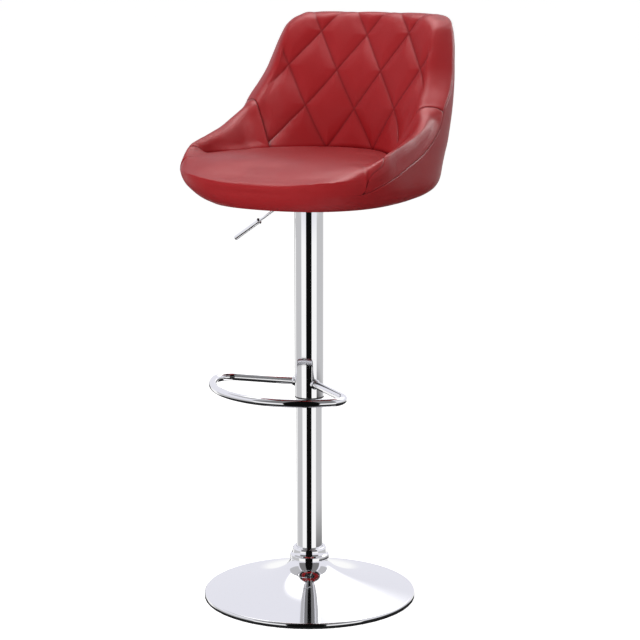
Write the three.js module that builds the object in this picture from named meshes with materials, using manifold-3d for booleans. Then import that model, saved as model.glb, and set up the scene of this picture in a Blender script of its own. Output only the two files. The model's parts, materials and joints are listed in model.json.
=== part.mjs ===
// Adjustable swivel bar stool with a gas lift, a footrest and a quilted bucket seat.
// Millimetres, +Z up, the sitter faces -Y. The floor is z = 0 and the column's axis is x = 0 here;
// the finished group is moved so that the origin lies under the middle of the stool's outline.
import * as THREE from "three";
import { mergeVertices } from "three/addons/utils/BufferGeometryUtils.js";
import Module from "manifold-3d";

const wasm = await Module();
wasm.setup();

// Fits and counts
const fit = 0.3; // clearance between pieces that touch
const softGap = 0.6; // clearance round upholstered pieces
const overrun = 5; // how far a cutter runs past what it cuts
const fullTurn = Math.PI * 2;

// Base
const baseRadius = 204.5;
const baseSheet = 2;
const baseLipHeight = 8;
const baseNeckRadius = 36.5;
const baseNeckHeight = 74;
const baseRimHeight = 10.5;
const baseSides = 48;
const baseWaistShares = [[0.2, 0.62], [0.54, 0.21]]; // bend of the trumpet, as shares of radius and height
const ringFoot = 2.2;
const ringWidth = 12;
const ringHeight = 6.5;
const braceRadius = 118;
const braceSheet = 2.5;
const braceHeight = 7.5;
const braceHoleRadius = 13;
const braceHoleRing = 74;
const braceHoles = 6;
const socketWall = 5;
const socketBottom = 12;

// Column tube and the collar that hides its joint with the base
const columnRadius = 25;
const columnWall = 1.5;
const columnBottom = 14;
const columnTop = 470;
const columnTaper = 0.8;
const columnFloor = 3;
const collarRadius = 37.5;
const collarTopRadius = 32.5;
const collarHeight = 24;
const collarWall = 2.5;
const collarStepShare = 0.42;
const bushLength = 78;
const bushFlange = 2.5;

// Swivel bearing at the foot of the piston rod
const raceInnerRadius = 6;
const raceOuterRadius = 15;
const raceThickness = 2;
const ballRadius = 2;
const ballCount = 8;
const cageThickness = 2;
const clipThickness = 1.2;
const clipRadius = 9;
const grooveDepth = 1;

// Gas spring
const rodRadius = 5;
const rodShoulderRadius = 7.5;
const rodShoulder = 3;
const cylinderRadius = 14;
const cylinderWall = 1.5;
const cylinderBottom = 375;
const cylinderTop = 762;
const cylinderEndWall = 5;
const coneLength = 60;
const coneTaper = 1;
const guideLength = 12;
const pistonLength = 10;
const pinRadius = 3;
const pinLength = 24;

// Cover tube that rises with the seat
const coverRadius = 28;
const coverWall = 1.5;
const coverBottom = 397;
const coverTop = 756;
const coverRingHeight = 11.7;
const coverBushLength = 33;
const coverBushLip = 2;

// Footrest, turned a little from the seat's front as it was assembled
const footHeight = 424;
const footTubeRadius = 7.5;
const footArmAngle = 66;
const footTurn = -11.6;
const footFrontRadius = 175;
const footFrontSetback = 14;
const footCornerRadius = 33;
const ferruleRadius = 10;
const ferruleLength = 5;

// Seat plate, hub and lever
const plateSide = 160;
const plateThickness = 3;
const plateCorner = 15;
const plateTop = 779.9;
const boltPitch = 120;
const boltRadius = 3;
const boltHeadRadius = 5.5;
const boltHeadHeight = 3.6;
const boltLength = 16;
const nutBarrelRadius = 4.2;
const nutBarrelLength = 9;
const nutFlangeRadius = 9;
const nutFlange = 1.2;
const hubRadius = 19;
const leverRadius = 2.5;
const leverInnerReach = 4;
const leverBendReach = 45.7;
const leverBendRadius = 12;
const leverSlope = 34.6;
const leverReach = 165.5;
const leverPivotReach = 26;
const leverPinRadius = 1.2;
const gripRadius = 4.3;
const gripLength = 67;
const gripFlangeRadius = 6;
const gripFlange = 2;
const bracketThickness = 2.4;
const bracketLength = 10;
const bracketWeb = 1.5;

// Upholstered seat
const seatBottom = 775;
const seatTop = 1118;
const seatHalfWidth = 221;
const seatFront = 211;
const seatRear = 272;
const shellWall = 11;
const shellFloor = 6;
const shellHoleRadius = 132;
const clothThickness = 0.8;
const boardThickness = 12;
const seatLevel = 858; // height of the crease between cushion and back
const seatCrown = 5;
const waterfall = 32; // how far the cushion drops to its front
const waterfallStart = 40; // how far in front of the axis the drop begins
const cushionRoll = 24;
const topRoll = 24;
const tipRoll = 10; // the same at the tips of the arms
const leanDrop = 2; // the crease side begins to lean this far below the face
const footRollShare = 0.45;
const quiltPitch = 47.5; // half the width of a diamond
const quiltRise = 76; // half the height of a diamond
const quiltBow = 5; // rows of stitches rise by this much at the reach beside the middle
const quiltBowReach = 100;
const quiltDepth = 5;
const seamWidth = 10;
const quiltEdge = 178; // where the quilting fades out, from the middle
const quiltFade = 26;

// Outline of the seat by height. Each row: share of the height from bottom to top, then shares of
// the half width, the front and the rear, then how square the front and the rear corners are.
const outlineShares = [
  [0, 0.79, 0.85, 0.745, 2.3, 2.8],
  [0.023, 0.868, 0.9, 0.77, 2.4, 3.3],
  [0.058, 0.925, 0.942, 0.778, 2.6, 3.9],
  [0.108, 0.96, 0.974, 0.77, 3, 4.3],
  [0.172, 0.978, 0.99, 0.76, 3.4, 4.5],
  [0.239, 0.989, 0.985, 0.75, 3.6, 5],
  [0.327, 0.996, 0.98, 0.75, 3.8, 6],
  [0.51, 0.986, 0.98, 0.78, 4, 8],
  [0.679, 0.945, 0.98, 0.857, 4, 9],
  [0.746, 0.924, 0.98, 0.892, 4, 9],
  [0.86, 0.892, 0.98, 0.96, 4, 8],
  [1, 0.855, 0.98, 1, 4, 6.5],
];
// Outer seam and crest by direction: degrees from the rear, share of the height from bottom to top.
const seamShares = [
  [0, 0.978], [30, 0.972], [35, 0.948], [39.4, 0.898], [42, 0.835], [45.6, 0.728], [48, 0.662],
  [52, 0.59], [56, 0.536], [58.5, 0.503], [60.3, 0.471], [62, 0.43], [64.5, 0.385], [68, 0.345],
  [71.3, 0.316], [79.5, 0.265], [93, 0.216], [107, 0.165], [117, 0.131], [122, 0.11], [126, 0.1],
  [180, 0.1],
];
const crestShares = [
  [0, 1], [30, 0.996], [35, 0.973], [39.4, 0.925], [42, 0.865], [45.6, 0.762], [48, 0.695],
  [52, 0.618], [56.8, 0.55], [60, 0.51], [63.2, 0.489], [68, 0.461], [74.4, 0.431], [85, 0.39],
  [92, 0.371], [102.7, 0.342], [110, 0.312], [116, 0.278], [119.5, 0.248], [121.5, 0.221],
  [123.5, 0.178], [126, 0.116], [180, 0.116],
];
// Inner line where the cushion meets the back and the arms, as a share of the outline at that height.
const creaseShares = [
  [60.4, 0.686], [70, 0.71], [84.8, 0.75], [96, 0.814],
  [107.9, 0.879], [117, 0.945], [126, 1], [180, 1],
];
// Front face of the back: share of the height, setback and curvature as shares of the rear reach.
const faceShares = [
  [0.23, 0.58, 0.911], [0.34, 0.591, 0.639], [0.469, 0.611, 0.421], [0.688, 0.69, 0.239],
  [0.875, 0.8, 0.25], [1, 0.868, 0.25],
];
const padTip = 3; // thickness of the arm pads at their tips
const padRoot = 5; // least thickness of the pads inside the shell
const armEndAngle = 60.4; // where the arm pads meet the back, from the rear
const armTipAngle = 126;
const tipRollAngles = [105, 118]; // between these the crest's roll gets narrower
const armBlendAngle = 12; // how far round the back's face turns into the arm's

// The group is moved so that the origin is under the middle of the seat's outline.
const setback = (seatRear - seatFront) / 2;

const finishes = {
  chrome: { color: 0xd9dadd, roughness: 0.08, metalness: 1 },
  steel: { color: 0x8d9095, roughness: 0.35, metalness: 1 },
  black: { color: 0x17181a, roughness: 0.5, metalness: 0.4 },
  plastic: { color: 0x1d1d20, roughness: 0.55, metalness: 0 },
  rubber: { color: 0x141414, roughness: 0.85, metalness: 0 },
  brass: { color: 0xb08d4a, roughness: 0.35, metalness: 1 },
  wood: { color: 0xb98f60, roughness: 0.7, metalness: 0 },
  cloth: { color: 0x202022, roughness: 0.95, metalness: 0 },
  vinyl: { color: 0x96232a, roughness: 0.42, metalness: 0 },
};

const stool = new THREE.Group();
stool.name = "swivel_bar_stool";
stool.position.y = -setback;

function add(name, geometry, finish, parent = stool) {
  const mesh = new THREE.Mesh(geometry, new THREE.MeshStandardMaterial(finishes[finish]));
  mesh.name = name;
  parent.add(mesh);
  return mesh;
}

// Closed solids and booleans
function toSolid(geometry) {
  const bare = new THREE.BufferGeometry();
  bare.setAttribute("position", geometry.getAttribute("position"));
  if (geometry.index) bare.setIndex(geometry.index);
  const merged = mergeVertices(bare, 1e-4);
  const solid = new wasm.Manifold(new wasm.Mesh({
    numProp: 3,
    vertProperties: new Float32Array(merged.getAttribute("position").array),
    triVerts: new Uint32Array(merged.index.array),
  }));
  return solid;
}

function toGeometry(solid) {
  const mesh = solid.getMesh();
  const geometry = new THREE.BufferGeometry();
  const points = new Float32Array(mesh.numVert * 3);
  for (let i = 0; i < mesh.numVert; i += 1) {
    for (let k = 0; k < 3; k += 1) points[3 * i + k] = mesh.vertProperties[mesh.numProp * i + k];
  }
  geometry.setAttribute("position", new THREE.BufferAttribute(points, 3));
  geometry.setIndex(Array.from(mesh.triVerts));
  geometry.computeVertexNormals();
  return geometry;
}

// The largest body of a solid: chips that a cutter leaves along a curved wall are dropped.
function mainBody(solid) {
  return solid.decompose().reduce((best, body) => (body.volume() > best.volume() ? body : best));
}

const cut = (geometry, ...tools) =>
  toGeometry(tools.reduce((left, tool) => left.subtract(toSolid(tool)), toSolid(geometry)));

// A body of revolution about Z from a closed outline of [radius, height] points in any order of turning.
function turned(outline, segments = 32) {
  let area = 0;
  for (let i = 0; i < outline.length; i += 1) {
    const [r0, z0] = outline[i];
    const [r1, z1] = outline[(i + 1) % outline.length];
    area += r0 * z1 - r1 * z0;
  }
  const ordered = area > 0 ? outline : [...outline].reverse();
  const points = [...ordered, ordered[0]].map(([r, z]) => new THREE.Vector2(r, z));
  return new THREE.LatheGeometry(points, segments).rotateX(Math.PI / 2);
}

const sleeve = (inner, outer, low, high, segments = 32) =>
  turned([[inner, low], [outer, low], [outer, high], [inner, high]], segments);

const rod = (radius, low, high, segments = 24) =>
  new THREE.CylinderGeometry(radius, radius, high - low, segments)
    .rotateX(Math.PI / 2)
    .translate(0, 0, (low + high) / 2);

// Straight-sided value from a table of [key, value...] rows.
function lookup(table, key, column = 1) {
  if (key <= table[0][0]) return table[0][column];
  for (let i = 1; i < table.length; i += 1) {
    if (key <= table[i][0]) {
      const share = (key - table[i - 1][0]) / (table[i][0] - table[i - 1][0]);
      return THREE.MathUtils.lerp(table[i - 1][column], table[i][column], share);
    }
  }
  return table[table.length - 1][column];
}

// A closed skin over rings of points that all have the same count, with both ends filled.
function lofted(rings, closed = true) {
  const count = rings[0].length;
  const points = rings.flat();
  const faces = [];
  const last = rings.length - (closed ? 1 : 0);
  for (let i = 0; i < last; i += 1) {
    const next = (i + 1) % rings.length;
    for (let k = 0; k < count; k += 1) {
      const side = (k + 1) % count;
      faces.push(i * count + k, i * count + side, next * count + side);
      faces.push(i * count + k, next * count + side, next * count + k);
    }
  }
  if (closed) {
    capRing(points, faces, 0, count, true);
    capRing(points, faces, (rings.length - 1) * count, count, false);
  }
  return skin(points, faces);
}

function capRing(points, faces, start, count, flip) {
  const ring = points.slice(start, start + count);
  const contour = flattened(ring);
  for (const [a, b, c] of THREE.ShapeUtils.triangulateShape(contour, [])) {
    if (flip) faces.push(start + a, start + c, start + b);
    else faces.push(start + a, start + b, start + c);
  }
}

// The ring's points in its own plane, seen from the side that its turning faces.
function flattened(ring) {
  const normal = new THREE.Vector3();
  const centre = ring.reduce((sum, p) => sum.add(p), new THREE.Vector3()).divideScalar(ring.length);
  ring.forEach((p, i) => {
    const q = ring[(i + 1) % ring.length];
    normal.add(p.clone().sub(centre).cross(q.clone().sub(centre)));
  });
  normal.normalize();
  const across = ring[0].clone().sub(centre).normalize();
  const up = normal.clone().cross(across);
  return ring.map((p) => {
    const d = p.clone().sub(centre);
    return new THREE.Vector2(d.dot(across), d.dot(up));
  });
}

function skin(points, faces) {
  const geometry = new THREE.BufferGeometry();
  const flat = new Float32Array(points.length * 3);
  points.forEach((p, i) => p.toArray(flat, 3 * i));
  geometry.setAttribute("position", new THREE.BufferAttribute(flat, 3));
  geometry.setIndex(faces);
  if (volumeOf(points, faces) < 0) {
    for (let i = 0; i < faces.length; i += 3) [faces[i + 1], faces[i + 2]] = [faces[i + 2], faces[i + 1]];
    geometry.setIndex(faces);
  }
  geometry.computeVertexNormals();
  return geometry;
}

function volumeOf(points, faces) {
  let volume = 0;
  for (let i = 0; i < faces.length; i += 3) {
    const [a, b, c] = [faces[i], faces[i + 1], faces[i + 2]].map((k) => points[k]);
    volume += a.dot(b.clone().cross(c)) / 6;
  }
  return volume;
}

// Base: a pressed trumpet with a rolled rim, its rubber ring, and the socket and plate inside
const baseBend = new THREE.CubicBezierCurve(
  new THREE.Vector2(baseNeckRadius, baseNeckHeight),
  new THREE.Vector2(baseRadius * baseWaistShares[0][0], baseNeckHeight * baseWaistShares[0][1] + fit),
  new THREE.Vector2(baseRadius * baseWaistShares[1][0], baseNeckHeight * baseWaistShares[1][1] + baseRimHeight),
  new THREE.Vector2(baseRadius - baseSheet, baseRimHeight),
);

function baseUnderside(radius) {
  const rows = baseBend.getPoints(60).map((p) => [p.x, p.y]);
  return lookup(rows, radius) - baseSheet;
}

function baseDisc() {
  const steps = 12;
  const outer = [];
  const inner = [];
  for (let i = 0; i <= steps; i += 1) {
    const p = baseBend.getPoint(i / steps);
    const t = baseBend.getTangent(i / steps);
    outer.push([p.x, p.y]);
    if (i % 2 === 0) inner.push([p.x + t.y * baseSheet, p.y - t.x * baseSheet]);
  }
  const lipBottom = ringFoot + fit;
  const outline = [
    [columnRadius + socketWall + 2 * fit, baseNeckHeight],
    ...outer,
    [baseRadius, baseRimHeight - baseSheet],
    [baseRadius, lipBottom],
    [baseRadius - baseSheet, lipBottom],
    [baseRadius - baseSheet, baseRimHeight - baseSheet - fit],
    ...inner.slice(1, -1).reverse(),
    [baseNeckRadius - baseSheet, baseNeckHeight - baseSheet],
    [columnRadius + socketWall + 2 * fit, baseNeckHeight - baseSheet],
  ];
  return turned(outline, baseSides);
}

function baseRing() {
  const step = baseRadius - baseSheet - fit;
  const outline = [
    [baseRadius - ringWidth, 0], [baseRadius, 0], [baseRadius, ringFoot],
    [step, ringFoot], [step, ringHeight], [baseRadius - ringWidth, ringHeight],
  ];
  return turned(outline, baseSides);
}

function baseBrace() {
  const inside = columnRadius + socketWall + fit;
  const rim = baseUnderside(braceRadius) - fit;
  const outline = [
    [inside, braceHeight], [braceRadius, braceHeight], [braceRadius, rim],
    [braceRadius - braceSheet, rim], [braceRadius - braceSheet, braceHeight + braceSheet],
    [inside, braceHeight + braceSheet],
  ];
  const holes = [];
  for (let i = 0; i < braceHoles; i += 1) {
    const angle = (fullTurn * i) / braceHoles;
    holes.push(rod(braceHoleRadius, braceHeight - overrun, braceHeight + braceSheet + overrun, 12)
      .translate(Math.cos(angle) * braceHoleRing, Math.sin(angle) * braceHoleRing, 0));
  }
  return cut(turned(outline, 36), ...holes);
}

function baseSocket() {
  const outer = columnRadius + socketWall;
  return turned([
    [columnRadius - columnTaper + fit, socketBottom], [outer, socketBottom],
    [outer, baseNeckHeight], [columnRadius + fit, baseNeckHeight],
  ], 40);
}

add("base_disc", baseDisc(), "chrome");
add("base_ring", baseRing(), "rubber");
add("base_brace", baseBrace(), "black");
add("base_socket", baseSocket(), "black");

// Column: a tapered tube in the socket, its collar, and the bush that guides the gas cylinder
function columnTube() {
  const inner = columnRadius - columnWall;
  const low = columnRadius - columnTaper;
  return turned([
    [raceInnerRadius, columnBottom], [low, columnBottom], [columnRadius, baseNeckHeight],
    [columnRadius, columnTop], [inner, columnTop], [inner, baseNeckHeight],
    [low - columnWall, columnBottom + columnFloor], [raceInnerRadius, columnBottom + columnFloor],
  ], 36);
}

function columnCollar() {
  const bottom = baseNeckHeight + fit;
  const top = bottom + collarHeight;
  const step = bottom + collarHeight * collarStepShare;
  const bore = columnRadius + fit;
  const chamfer = collarWall / 2;
  return turned([
    [collarRadius, bottom], [collarRadius, step - chamfer], [collarRadius - chamfer, step],
    [collarTopRadius + chamfer / 2, step + chamfer], [collarTopRadius, step + 2 * chamfer],
    [collarTopRadius - chamfer / 2, top - chamfer], [collarTopRadius - 2 * chamfer, top], [bore, top],
    [bore, top - collarWall], [collarTopRadius - collarWall - chamfer, top - collarWall],
    [collarTopRadius - collarWall - chamfer, step], [collarRadius - collarWall, step - collarWall],
    [collarRadius - collarWall, bottom],
  ], 36);
}

function columnBush() {
  const bore = cylinderRadius + fit;
  const outer = columnRadius - columnWall - fit;
  const seat = columnTop + fit;
  return turned([
    [bore, columnTop - bushLength], [outer, columnTop - bushLength], [outer, seat],
    [columnRadius, seat], [columnRadius, seat + bushFlange], [bore, seat + bushFlange],
  ], 32);
}

add("column_tube", columnTube(), "chrome");
add("column_collar", columnCollar(), "chrome");
add("column_bush", columnBush(), "plastic");

// Swivel bearing: two races with a caged ring of balls, standing on the column's floor
const raceBottom = columnBottom + columnFloor + fit;
const ballMiddle = raceBottom + raceThickness + fit + ballRadius;
const upperRaceBottom = ballMiddle + ballRadius + fit;
const bearingTop = upperRaceBottom + raceThickness + fit;

function bearingBalls() {
  const ring = (raceInnerRadius + raceOuterRadius) / 2;
  const cage = sleeve(raceInnerRadius + fit, raceOuterRadius - fit, ballMiddle - cageThickness / 2,
    ballMiddle + cageThickness / 2, 24);
  let solid = toSolid(cage);
  for (let i = 0; i < ballCount; i += 1) {
    const angle = (fullTurn * i) / ballCount;
    const ball = new THREE.SphereGeometry(ballRadius, 8, 5)
      .rotateX(Math.PI / 2)
      .translate(Math.cos(angle) * ring, Math.sin(angle) * ring, ballMiddle);
    solid = solid.add(toSolid(ball));
  }
  return toGeometry(solid);
}

add("bearing_lower_race", sleeve(raceInnerRadius, raceOuterRadius, raceBottom, raceBottom + raceThickness, 24), "steel");
add("bearing_balls", bearingBalls(), "steel");
add("bearing_upper_race",
  sleeve(rodRadius + fit, raceOuterRadius, upperRaceBottom, upperRaceBottom + raceThickness, 24), "steel");

// Gas spring: the rod is clipped under the column's floor, and the cylinder slides on it
const clipTop = columnBottom - fit;
const clipBottom = clipTop - clipThickness;
const guideTop = cylinderBottom + guideLength;
const pistonBottom = guideTop + fit;
const pistonTop = pistonBottom + pistonLength;

function pistonRod() {
  const groove = rodRadius - grooveDepth;
  const end = clipBottom - fit - clipThickness;
  return turned([
    [0, end], [groove, end], [rodRadius, end + fit], [rodRadius, clipBottom - fit], [groove, clipBottom - fit],
    [groove, clipTop + fit / 2], [rodRadius, clipTop + fit / 2], [rodRadius, bearingTop],
    [rodShoulderRadius, bearingTop], [rodShoulderRadius, bearingTop + rodShoulder],
    [rodRadius, bearingTop + rodShoulder], [rodRadius, pistonBottom - fit],
    [rodRadius - grooveDepth, pistonBottom - fit], [rodRadius - grooveDepth, pistonTop + fit], [0, pistonTop + fit],
  ], 16);
}

function rodClip() {
  const ring = sleeve(rodRadius - grooveDepth + fit, clipRadius, clipBottom, clipTop, 24);
  const mouth = new THREE.BoxGeometry(2 * clipRadius, rodRadius, 2 * overrun)
    .translate(clipRadius, 0, clipTop);
  return cut(ring, mouth);
}

function gasCylinder() {
  const bore = cylinderRadius - cylinderWall;
  const coneStart = cylinderTop - coneLength;
  const pinHole = pinRadius + fit;
  return turned([
    [bore, cylinderBottom], [cylinderRadius, cylinderBottom], [cylinderRadius, coneStart],
    [cylinderRadius - coneTaper, cylinderTop], [pinHole, cylinderTop], [pinHole, cylinderTop - cylinderEndWall],
    [bore - coneTaper, cylinderTop - cylinderEndWall], [bore, coneStart],
  ], 32);
}

const leverHeight = cylinderTop + 2 * leverRadius + leverInnerReach + fit;
const pinTop = leverHeight - leverRadius - fit;

add("piston_rod", pistonRod(), "chrome");
add("rod_clip", rodClip(), "steel");
add("piston", sleeve(rodRadius - grooveDepth + fit, cylinderRadius - cylinderWall - fit, pistonBottom, pistonTop, 24),
  "plastic");
add("gas_cylinder", gasCylinder(), "black");
add("cylinder_guide",
  sleeve(rodRadius + fit, cylinderRadius - cylinderWall - fit, cylinderBottom, guideTop, 24), "plastic");
add("release_pin", rod(pinRadius, pinTop - pinLength, pinTop, 20), "steel");

// Cover tube with the ring that centres it and its guide bush
const hubBottom = cylinderTop - coneLength + fit + overrun;
const coverBore = coverRadius - coverWall;

function coverBush() {
  const inner = columnRadius + fit;
  const outer = coverBore - fit;
  const lipTop = coverBottom - fit;
  return turned([
    [inner, lipTop - coverBushLip], [coverRadius, lipTop - coverBushLip], [coverRadius, lipTop],
    [outer, lipTop], [outer, coverBottom + coverBushLength], [inner, coverBottom + coverBushLength],
  ], 32);
}

add("cover_tube", sleeve(coverBore, coverRadius, coverBottom, coverTop, 48), "chrome");
add("cover_top_ring",
  sleeve(cylinderRadius + fit, coverBore - fit, hubBottom - fit - coverRingHeight, hubBottom - fit, 32), "plastic");
add("cover_bush", coverBush(), "plastic");

// Footrest: one bent tube, two straight arms joined by a wide front bow
function footPath() {
  const angle = THREE.MathUtils.degToRad(footArmAngle);
  const along = new THREE.Vector2(Math.sin(angle), -Math.cos(angle));
  const inward = new THREE.Vector2(-Math.cos(angle), -Math.sin(angle));
  const bowCentre = new THREE.Vector2(0, -footFrontSetback);
  // The corner's centre is one corner radius from the arm and lies inside the bow by as much.
  const start = inward.clone().multiplyScalar(footCornerRadius).sub(bowCentre);
  const reach = footFrontRadius - footCornerRadius;
  const b = start.dot(along);
  const armLength = -b + Math.sqrt(b * b - start.lengthSq() + reach * reach);
  const corner = along.clone().multiplyScalar(armLength).add(inward.clone().multiplyScalar(footCornerRadius));
  const outward = corner.clone().sub(bowCentre).normalize();
  const half = [];
  const bowAngle = Math.atan2(outward.x, -outward.y);
  const bowSteps = 11;
  for (let i = 0; i <= bowSteps; i += 1) {
    const a = (bowAngle * i) / bowSteps;
    half.push(new THREE.Vector2(Math.sin(a), -Math.cos(a)).multiplyScalar(footFrontRadius).add(bowCentre));
  }
  const cornerEnd = Math.atan2(-inward.x, inward.y);
  const cornerSteps = 7;
  for (let i = 1; i <= cornerSteps; i += 1) {
    const a = THREE.MathUtils.lerp(bowAngle, cornerEnd, i / cornerSteps);
    half.push(new THREE.Vector2(Math.sin(a), -Math.cos(a)).multiplyScalar(footCornerRadius).add(corner));
  }
  half.push(along.clone().multiplyScalar(coverRadius - overrun / 2));
  const mirrored = half.slice(1).map((p) => new THREE.Vector2(-p.x, p.y)).reverse();
  return [...mirrored, ...half].map((p) => new THREE.Vector3(p.x, p.y, footHeight));
}

// A tube along a level path: each section stands square to the path's run at its point.
function sweptTube(path, radius, sides) {
  const rings = path.map((p, i) => {
    const before = path[Math.max(i - 1, 0)];
    const after = path[Math.min(i + 1, path.length - 1)];
    const run = after.clone().sub(before).normalize();
    const across = new THREE.Vector3(0, 0, 1).cross(run).normalize();
    const up = run.clone().cross(across);
    const ring = [];
    for (let k = 0; k < sides; k += 1) {
      const a = (fullTurn * k) / sides;
      ring.push(p.clone()
        .addScaledVector(across, Math.cos(a) * radius)
        .addScaledVector(up, Math.sin(a) * radius));
    }
    return ring;
  });
  return lofted(rings);
}

const footrest = new THREE.Group();
footrest.rotation.z = THREE.MathUtils.degToRad(footTurn);
stool.add(footrest);

const coverClearance = rod(coverRadius + fit, footHeight - coverRadius, footHeight + coverRadius, 48);
add("footrest", cut(sweptTube(footPath(), footTubeRadius, 14), coverClearance), "chrome", footrest);

function ferrule(side) {
  const start = coverRadius - overrun;
  const end = coverRadius + ferruleLength;
  const flare = ferruleRadius - footTubeRadius - fit;
  const ring = turned([
    [footTubeRadius + fit, start], [ferruleRadius, start], [ferruleRadius, coverRadius + flare / 2],
    [footTubeRadius + 2 * fit + flare / 4, end], [footTubeRadius + fit, end],
  ], 20);
  const angle = THREE.MathUtils.degToRad(footArmAngle);
  ring.rotateX(Math.PI / 2).rotateZ(side * angle).translate(0, 0, footHeight);
  return cut(ring, coverClearance);
}

add("footrest_ferrule_left", ferrule(1), "chrome", footrest);
add("footrest_ferrule_right", ferrule(-1), "chrome", footrest);

// Seat plate with its tapered hub
const plateBottom = plateTop - plateThickness;
const boltPlaces = [[1, 1], [-1, 1], [-1, -1], [1, -1]].map(([x, y]) => [(x * boltPitch) / 2, (y * boltPitch) / 2]);

function holesAt(places, radius, low, high, segments = 16) {
  return places.map(([x, y]) => rod(radius, low - overrun, high + overrun, segments).translate(x, y, 0));
}

function seatPlate() {
  const half = plateSide / 2;
  const shape = new THREE.Shape();
  const corners = [[1, -1], [1, 1], [-1, 1], [-1, -1]];
  corners.forEach(([x, y], i) => {
    const centre = [x * (half - plateCorner), y * (half - plateCorner)];
    const start = -Math.PI / 2 + (i * Math.PI) / 2;
    if (i === 0) shape.moveTo(centre[0], centre[1] - plateCorner);
    shape.absarc(centre[0], centre[1], plateCorner, start, start + Math.PI / 2, false);
  });
  const slab = new THREE.ExtrudeGeometry(shape, { depth: plateThickness, bevelEnabled: false, curveSegments: 6 });
  slab.translate(0, 0, plateBottom);
  return cut(slab, ...holesAt(boltPlaces, boltRadius + fit, plateBottom, plateTop));
}

function plateHub() {
  const top = plateBottom - fit;
  const coneStart = cylinderTop - coneLength;
  const boreAt = (z) => cylinderRadius - (coneTaper * (z - coneStart)) / coneLength + fit;
  const tube = turned([
    [boreAt(hubBottom), hubBottom], [hubRadius - 1.5 * fit, hubBottom], [hubRadius, hubBottom + 2 * fit],
    [hubRadius, top], [boreAt(top), top],
  ], 36);
  const slotLow = leverHeight - 2 * leverRadius;
  const slot = new THREE.BoxGeometry(2 * hubRadius, 2 * (leverRadius + 2 * fit), top - slotLow + overrun)
    .translate(-hubRadius, 0, slotLow + (top - slotLow + overrun) / 2);
  return cut(tube, slot);
}

add("seat_plate", seatPlate(), "black");
add("plate_hub", plateHub(), "black");

// Lever: a bent rod on a cross pin between two ears, with a sleeve for the hand
const earInner = leverRadius + 4 * fit;
const earOuter = earInner + bracketThickness;
const bracketTop = plateBottom - fit;

function leverBracket() {
  const drop = leverHeight - 2 * leverRadius;
  const shape = new THREE.Shape([
    [-earOuter, drop], [-earInner, drop], [-earInner, bracketTop - bracketWeb], [earInner, bracketTop - bracketWeb],
    [earInner, drop], [earOuter, drop], [earOuter, bracketTop], [-earOuter, bracketTop],
  ].map(([y, z]) => new THREE.Vector2(y, z)));
  const channel = new THREE.ExtrudeGeometry(shape, { depth: bracketLength, bevelEnabled: false });
  channel.rotateX(Math.PI / 2).rotateZ(Math.PI / 2).translate(-leverPivotReach - bracketLength / 2, 0, 0);
  return cut(channel, crossHole(leverPinRadius + fit));
}

const crossHole = (radius) =>
  new THREE.CylinderGeometry(radius, radius, 2 * (earOuter + overrun), 16)
    .translate(-leverPivotReach, 0, leverHeight);

function leverPin() {
  const head = 2 * leverPinRadius;
  const pin = turned([
    [0, -earOuter - fit], [leverPinRadius, -earOuter - fit], [leverPinRadius, earOuter + fit],
    [head, earOuter + fit], [head, earOuter + fit + leverPinRadius], [0, earOuter + fit + leverPinRadius],
  ], 16);
  return pin.rotateX(Math.PI / 2).translate(-leverPivotReach, 0, leverHeight);
}

const slope = THREE.MathUtils.degToRad(leverSlope);
const leverRun = new THREE.Vector3(-Math.cos(slope), 0, -Math.sin(slope));
const leverCorner = new THREE.Vector3(-leverBendReach, 0, leverHeight);
const leverTip = leverCorner.clone()
  .addScaledVector(leverRun, (leverReach - leverBendReach) / Math.cos(slope));
const gripStart = leverTip.clone().addScaledVector(leverRun, -gripLength);

function leverRod() {
  const tangent = leverBendRadius * Math.tan(slope / 2);
  const centre = new THREE.Vector3(-leverBendReach + tangent, 0, leverHeight - leverBendRadius);
  const path = [new THREE.Vector3(leverInnerReach, 0, leverHeight)];
  const steps = 6;
  for (let i = 0; i <= steps; i += 1) {
    const a = (slope * i) / steps;
    path.push(new THREE.Vector3(-Math.sin(a), 0, Math.cos(a)).multiplyScalar(leverBendRadius).add(centre));
  }
  path.push(leverTip.clone().addScaledVector(leverRun, -gripFlange));
  const rings = path.map((p, i) => {
    const before = path[Math.max(i - 1, 0)];
    const after = path[Math.min(i + 1, path.length - 1)];
    const run = after.clone().sub(before).normalize();
    const across = new THREE.Vector3(0, 1, 0);
    const up = run.clone().cross(across);
    const ring = [];
    for (let k = 0; k < 12; k += 1) {
      const a = (fullTurn * k) / 12;
      ring.push(p.clone()
        .addScaledVector(across, Math.cos(a) * leverRadius)
        .addScaledVector(up, Math.sin(a) * leverRadius));
    }
    return ring;
  });
  return cut(lofted(rings), crossHole(leverPinRadius + fit));
}

function leverGrip() {
  const bore = leverRadius + fit;
  const roll = gripRadius - leverRadius;
  const outline = [
    [bore, 0], [gripFlangeRadius - fit, 0], [gripFlangeRadius, fit], [gripFlangeRadius, gripFlange - fit],
    [gripFlangeRadius - fit, gripFlange], [gripRadius, gripFlange + fit], [gripRadius, gripLength - roll],
    [gripRadius - roll / 3, gripLength - roll / 3], [gripRadius - roll, gripLength],
    [0, gripLength], [0, gripLength - gripFlange + fit], [bore, gripLength - gripFlange + fit],
  ];
  const grip = turned(outline, 16);
  const turn = new THREE.Quaternion().setFromUnitVectors(new THREE.Vector3(0, 0, 1), leverRun);
  return grip.applyQuaternion(turn).translate(gripStart.x, gripStart.y, gripStart.z);
}

add("lever_bracket", leverBracket(), "black");
add("lever_pin", leverPin(), "steel");
add("lever_rod", leverRod(), "chrome");
add("lever_grip", leverGrip(), "chrome");

// Seat board, cloth, bolts and tee nuts
const boardBottom = seatBottom + shellFloor + fit;
const boardTop = boardBottom + boardThickness;
const clothBottom = boardBottom - fit - clothThickness;
const boltHeadTop = plateBottom - fit;

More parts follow.
